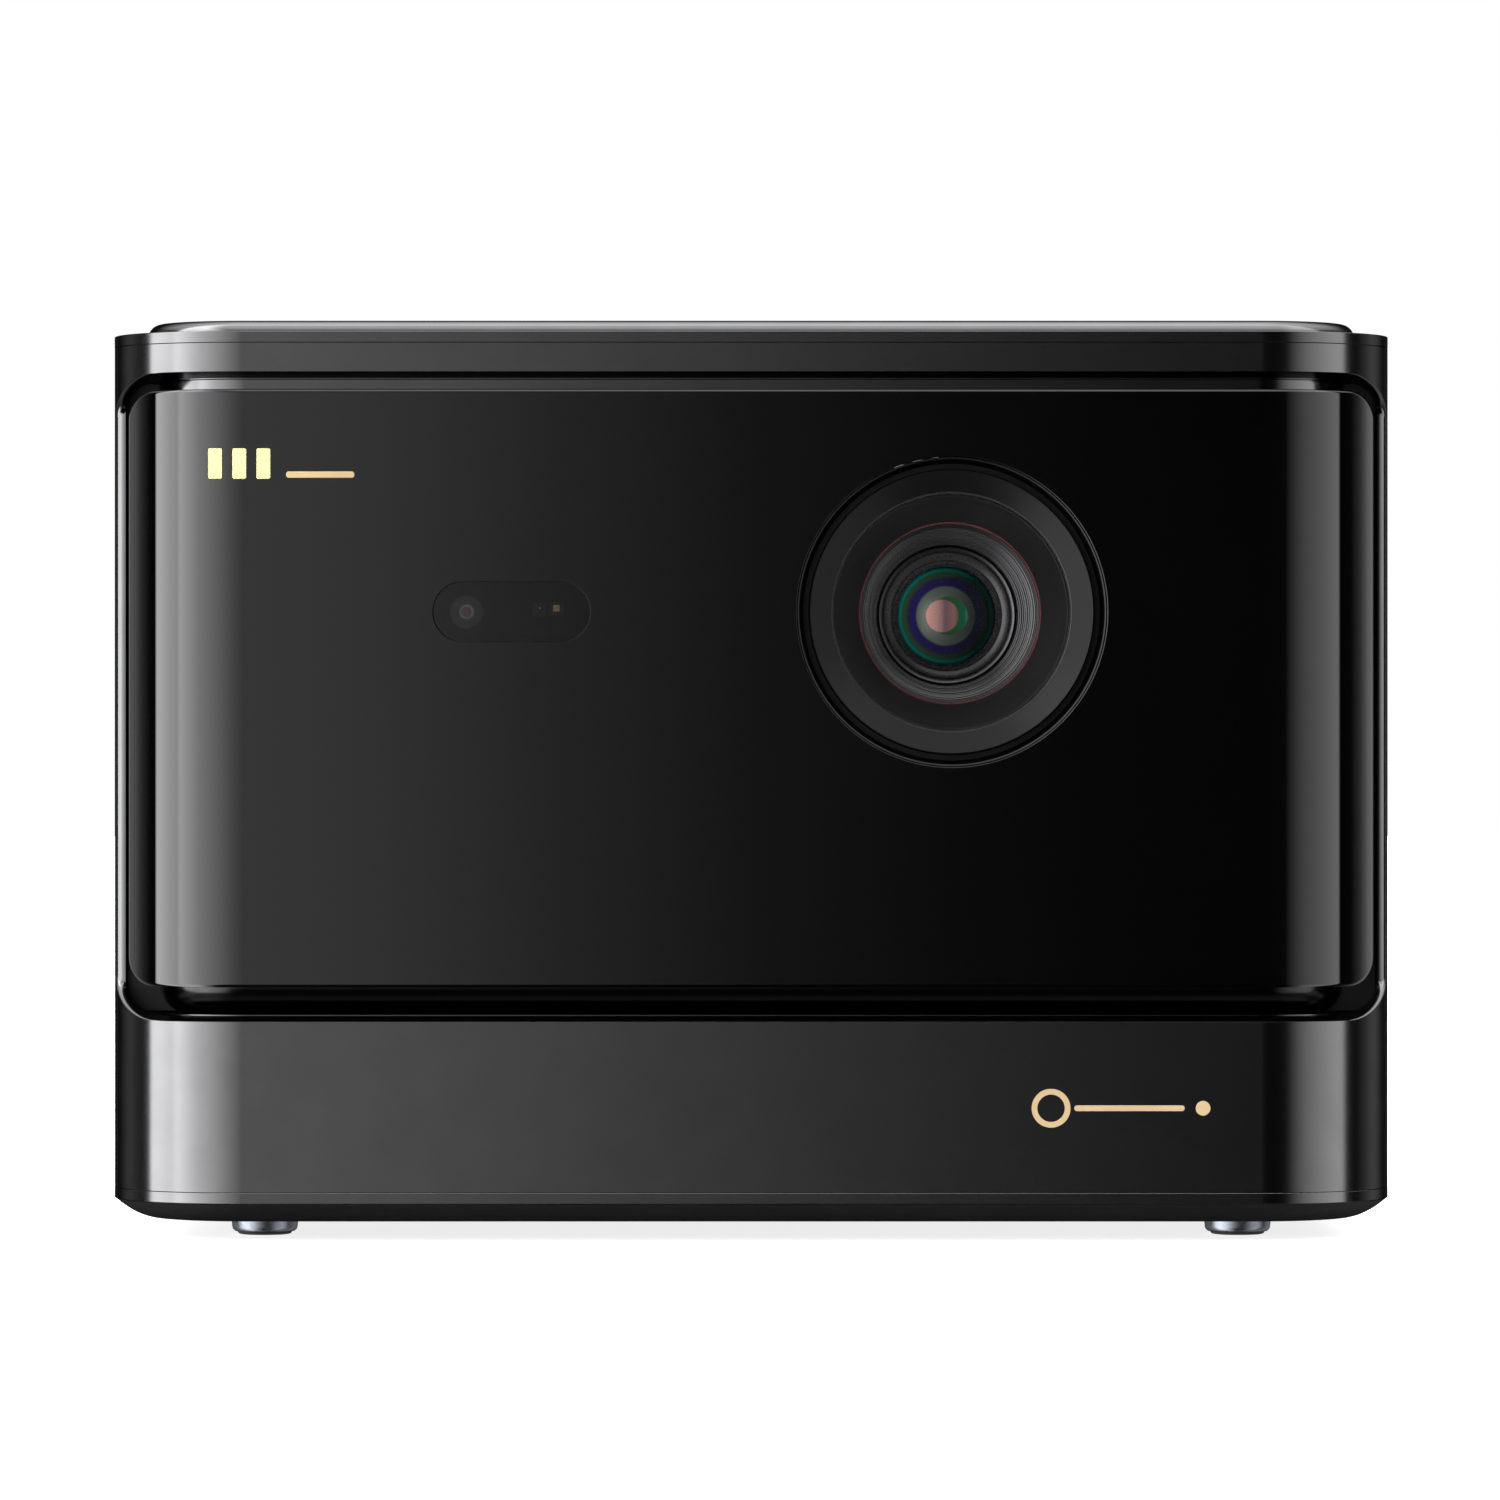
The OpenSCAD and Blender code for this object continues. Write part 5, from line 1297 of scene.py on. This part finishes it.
    shape = Shape()
    axis = lambda u, v, h: (dc_x + u, h, SOCKET_Z + 6 + v)
    lathe(shape, [(4.1, 92), (4.1, SOCKET_Y - 0.2), (3.9, SOCKET_Y), (3.1, SOCKET_Y), (2.9, SOCKET_Y - 0.3),
                  (2.9, 91.2), (0, 91.2)], axis, 64)
    shape.slot = 1
    lathe(shape, [(1.25, 91.3), (1.25, 101.2), (1.0, 101.8), (0.4, 102.0), (0, 102.0)], axis, 40)
    shape.build("power_inlet", "chassis", "dc_jack", "socket_plastic", [MAT["socket_plastic"], MAT["socket_metal"]])

    shape = Shape()
    axis = lambda u, v, h: (audio_x + u, h, SOCKET_Z + 4 + v)
    lathe(shape, [(3.2, 92), (3.2, 102.7), (3.0, 103.0), (2.5, 103.0)], axis, 56)
    box = lambda g: rrect(opt_x - 4.7, opt_x + 4.7, SOCKET_Z, SOCKET_Z + 9.4, 0.4, 3, g)
    rows = [face_at(box(g), y) for g, y in ((0, 88), (0, 102.8), (-0.2, 103.0))]
    shape.rows(rows)
    shape.cap(rows[0])
    opt = lambda y, g: face_at(rrect(opt_x - 3, opt_x + 3, SOCKET_Z + 1.8, SOCKET_Z + 7.6, 0.9, 4, g), y)
    shape.cap(rows[-1], opt(103.0, 0.2))
    shape.strip(opt(103.0, 0.2), opt(102.8, 0))
    shape.strip(opt(102.8, 0), opt(92.5, 0))
    shape.cap(opt(92.5, 0))
    shape.slot = 1
    lathe(shape, [(2.5, 103.0), (1.95, 102.95), (1.78, 102.7), (1.78, 90.5), (0, 90.5)], axis, 56)
    shape.build("audio_sockets", "chassis", "audio_ports", "socket_plastic",
                [MAT["socket_plastic"], MAT["contact_gold"]])


# ---- stage ----


def world_light():
    """Soft studio surround: brightness by compass direction, fading towards the floor, with an overhead softbox."""
    world = bpy.data.worlds.new("studio")
    bpy.context.scene.world = world
    world.use_nodes = True
    tree = world.node_tree
    tree.nodes.clear()
    coord = tree.nodes.new("ShaderNodeTexCoord")
    sep = tree.nodes.new("ShaderNodeSeparateXYZ")
    link(tree, coord.outputs["Generated"], sep.inputs[0])

    def math_node(op, a, b=None, c=None):
        n = tree.nodes.new("ShaderNodeMath")
        n.operation = op
        for i, val in enumerate((a, b, c)):
            if val is None:
                continue
            if isinstance(val, (int, float)):
                n.inputs[i].default_value = val
            else:
                link(tree, val, n.inputs[i])
        return n.outputs[0]

    back = math_node("MULTIPLY", sep.outputs["Y"], -1.0)
    azimuth = math_node("ARCTAN2", sep.outputs["X"], back)
    turn = math_node("MULTIPLY_ADD", azimuth, 1 / (2 * math.pi), 0.5)

    def at(deg):
        return 0.5 + deg / 360

    left = [(-180, 0.0), (-164, 0.0), (-150, 0.22), (-136, 0.5), (-124, 0.55), (-110, 0.2), (-99, 0.02), (-91.0, 0.0),
            (-89.5, 7.8), (-70, 6.0), (-66, 5.6), (-62, 7.4), (-42, 4.0), (-24, 2.4), (-14, 1.55), (-8, 1.18),
            (-5, 1.04), (-3.3, 0.88), (-1.8, 0.46), (0, 0.15), (1.8, 0.03), (4, 0.0)]
    right = [(26, 0.02), (32, 0.42), (43, 1.15), (60, 1.9), (80, 2.7), (82.5, 0.0), (97, 0.02), (109, 0.25),
             (124, 0.8), (134, 0.8), (148, 0.3), (164, 0.0), (180, 0.0)]
    top_value = 8.0

    def side_ramp(stops):
        return ramp(tree, turn, [(at(d), v / top_value) for d, v in stops])

    half_a = side_ramp(left)
    half_b = side_ramp([(4.0, 0.0)] + right)
    is_right = math_node("GREATER_THAN", turn, at(4.0))
    mix = tree.nodes.new("ShaderNodeMix")
    mix.data_type = "FLOAT"
    link(tree, is_right, mix.inputs["Factor"])
    link(tree, half_a, mix.inputs["A"])
    link(tree, half_b, mix.inputs["B"])
    level = math_node("MULTIPLY", mix.outputs["Result"], top_value)
    height = math_node("ARCSINE", sep.outputs["Z"])
    tilt = math_node("MULTIPLY", math_node("ABSOLUTE", height), 180 / math.pi)
    swing = math_node("MULTIPLY", math_node("ABSOLUTE", azimuth), 180 / math.pi)
    reach = tree.nodes.new("ShaderNodeMapRange")
    for key, value in (("From Min", 20.0), ("From Max", 70.0), ("To Min", 22.0), ("To Max", 100.0)):
        reach.inputs[key].default_value = value
    link(tree, swing, reach.inputs["Value"])
    ratio = math_node("DIVIDE", tilt, reach.outputs["Result"])
    window = ramp(tree, ratio, [(0.0, 1.0), (0.55, 1.0), (0.80, 0.35), (1.0, 0.02)], "EASE")
    elevation = math_node("MULTIPLY_ADD", height, 1 / math.pi, 0.5)
    over = ramp(tree, elevation, [(0.0, 0.0), (0.5 + 24 / 180, 0.0), (0.5 + 32 / 180, 0.26), (0.5 + 45 / 180, 0.46),
                                  (0.5 + 72 / 180, 0.70), (1.0, 1.0)])
    side = math_node("MULTIPLY", level, window)
    total = math_node("MULTIPLY_ADD", over, 5.4, side)
    shader = tree.nodes.new("ShaderNodeBackground")
    shader.inputs["Color"].default_value = (1, 1, 1, 1)
    link(tree, total, shader.inputs["Strength"])
    out = tree.nodes.new("ShaderNodeOutputWorld")
    link(tree, shader.outputs[0], out.inputs["Surface"])


def build_stage():
    floor_r, wall_h = 7.0, 9.0
    m, tree, shader = new_material("pale_floor")
    tone = noise(tree, 6.0, 3.0)
    link(tree, ramp(tree, tone, [(0.3, (0.86, 0.86, 0.86)), (0.7, (0.90, 0.90, 0.90))]), shader.inputs["Base Color"])
    shader.inputs["Roughness"].default_value = 0.9
    shader.inputs["Emission Color"].default_value = (1, 1, 1, 1)
    shader.inputs["Emission Strength"].default_value = 0.8
    mesh = bpy.data.meshes.new("floor")
    steps = 96
    mesh.from_pydata(flat_at(circle(0, 0, floor_r, steps), 0.0), [], [list(range(steps))])
    mesh.materials.append(m)
    floor = bpy.data.objects.new("floor", mesh)
    bpy.context.scene.collection.objects.link(floor)
    floor.visible_glossy = False

    m, tree, shader = new_material("pale_backdrop")
    shader.inputs["Base Color"].default_value = (0.0, 0.0, 0.0, 1)
    shader.inputs["Roughness"].default_value = 1.0
    shader.inputs["Specular IOR Level"].default_value = 0.0
    shader.inputs["Emission Color"].default_value = (1, 1, 1, 1)
    shader.inputs["Emission Strength"].default_value = 1.0
    verts, faces = [], []
    profile = [(floor_r, 0.0)] + [(floor_r * math.cos(math.radians(a)), wall_h * math.sin(math.radians(a)))
                                  for a in range(6, 91, 6)]
    for r, z in profile:
        verts += flat_at(circle(0, 0, r, steps), z)
    for i in range(len(profile) - 1):
        for k in range(steps):
            j = (k + 1) % steps
            faces.append([i * steps + k, i * steps + j, (i + 1) * steps + j, (i + 1) * steps + k])
    mesh = bpy.data.meshes.new("backdrop")
    mesh.from_pydata(verts, [], faces)
    mesh.materials.append(m)
    dome = bpy.data.objects.new("backdrop", mesh)
    bpy.context.scene.collection.objects.link(dome)
    for ray in ("glossy", "diffuse", "shadow", "transmission", "volume_scatter"):
        setattr(dome, "visible_" + ray, False)


def build_camera():
    data = bpy.data.cameras.new("camera")
    data.sensor_width = 36.0
    data.lens = 189.4
    data.clip_start = 0.05
    data.clip_end = 60.0
    cam = bpy.data.objects.new("camera", data)
    bpy.context.scene.collection.objects.link(cam)
    cam.location = (-0.00023, FRONT_Y * MM - 1.5, 0.0937)
    cam.rotation_euler = (math.pi / 2, 0, 0)
    bpy.context.scene.camera = cam


build_camera()
world_light()
build_stage()
build_shell()
build_top()
build_base()
build_neck()
build_glass()
build_sensors()
build_marks()
build_lens()
build_vents()
build_fans()
build_sockets()

scene = bpy.context.scene
scene.view_settings.view_transform = "Standard"
scene.view_settings.look = "None"
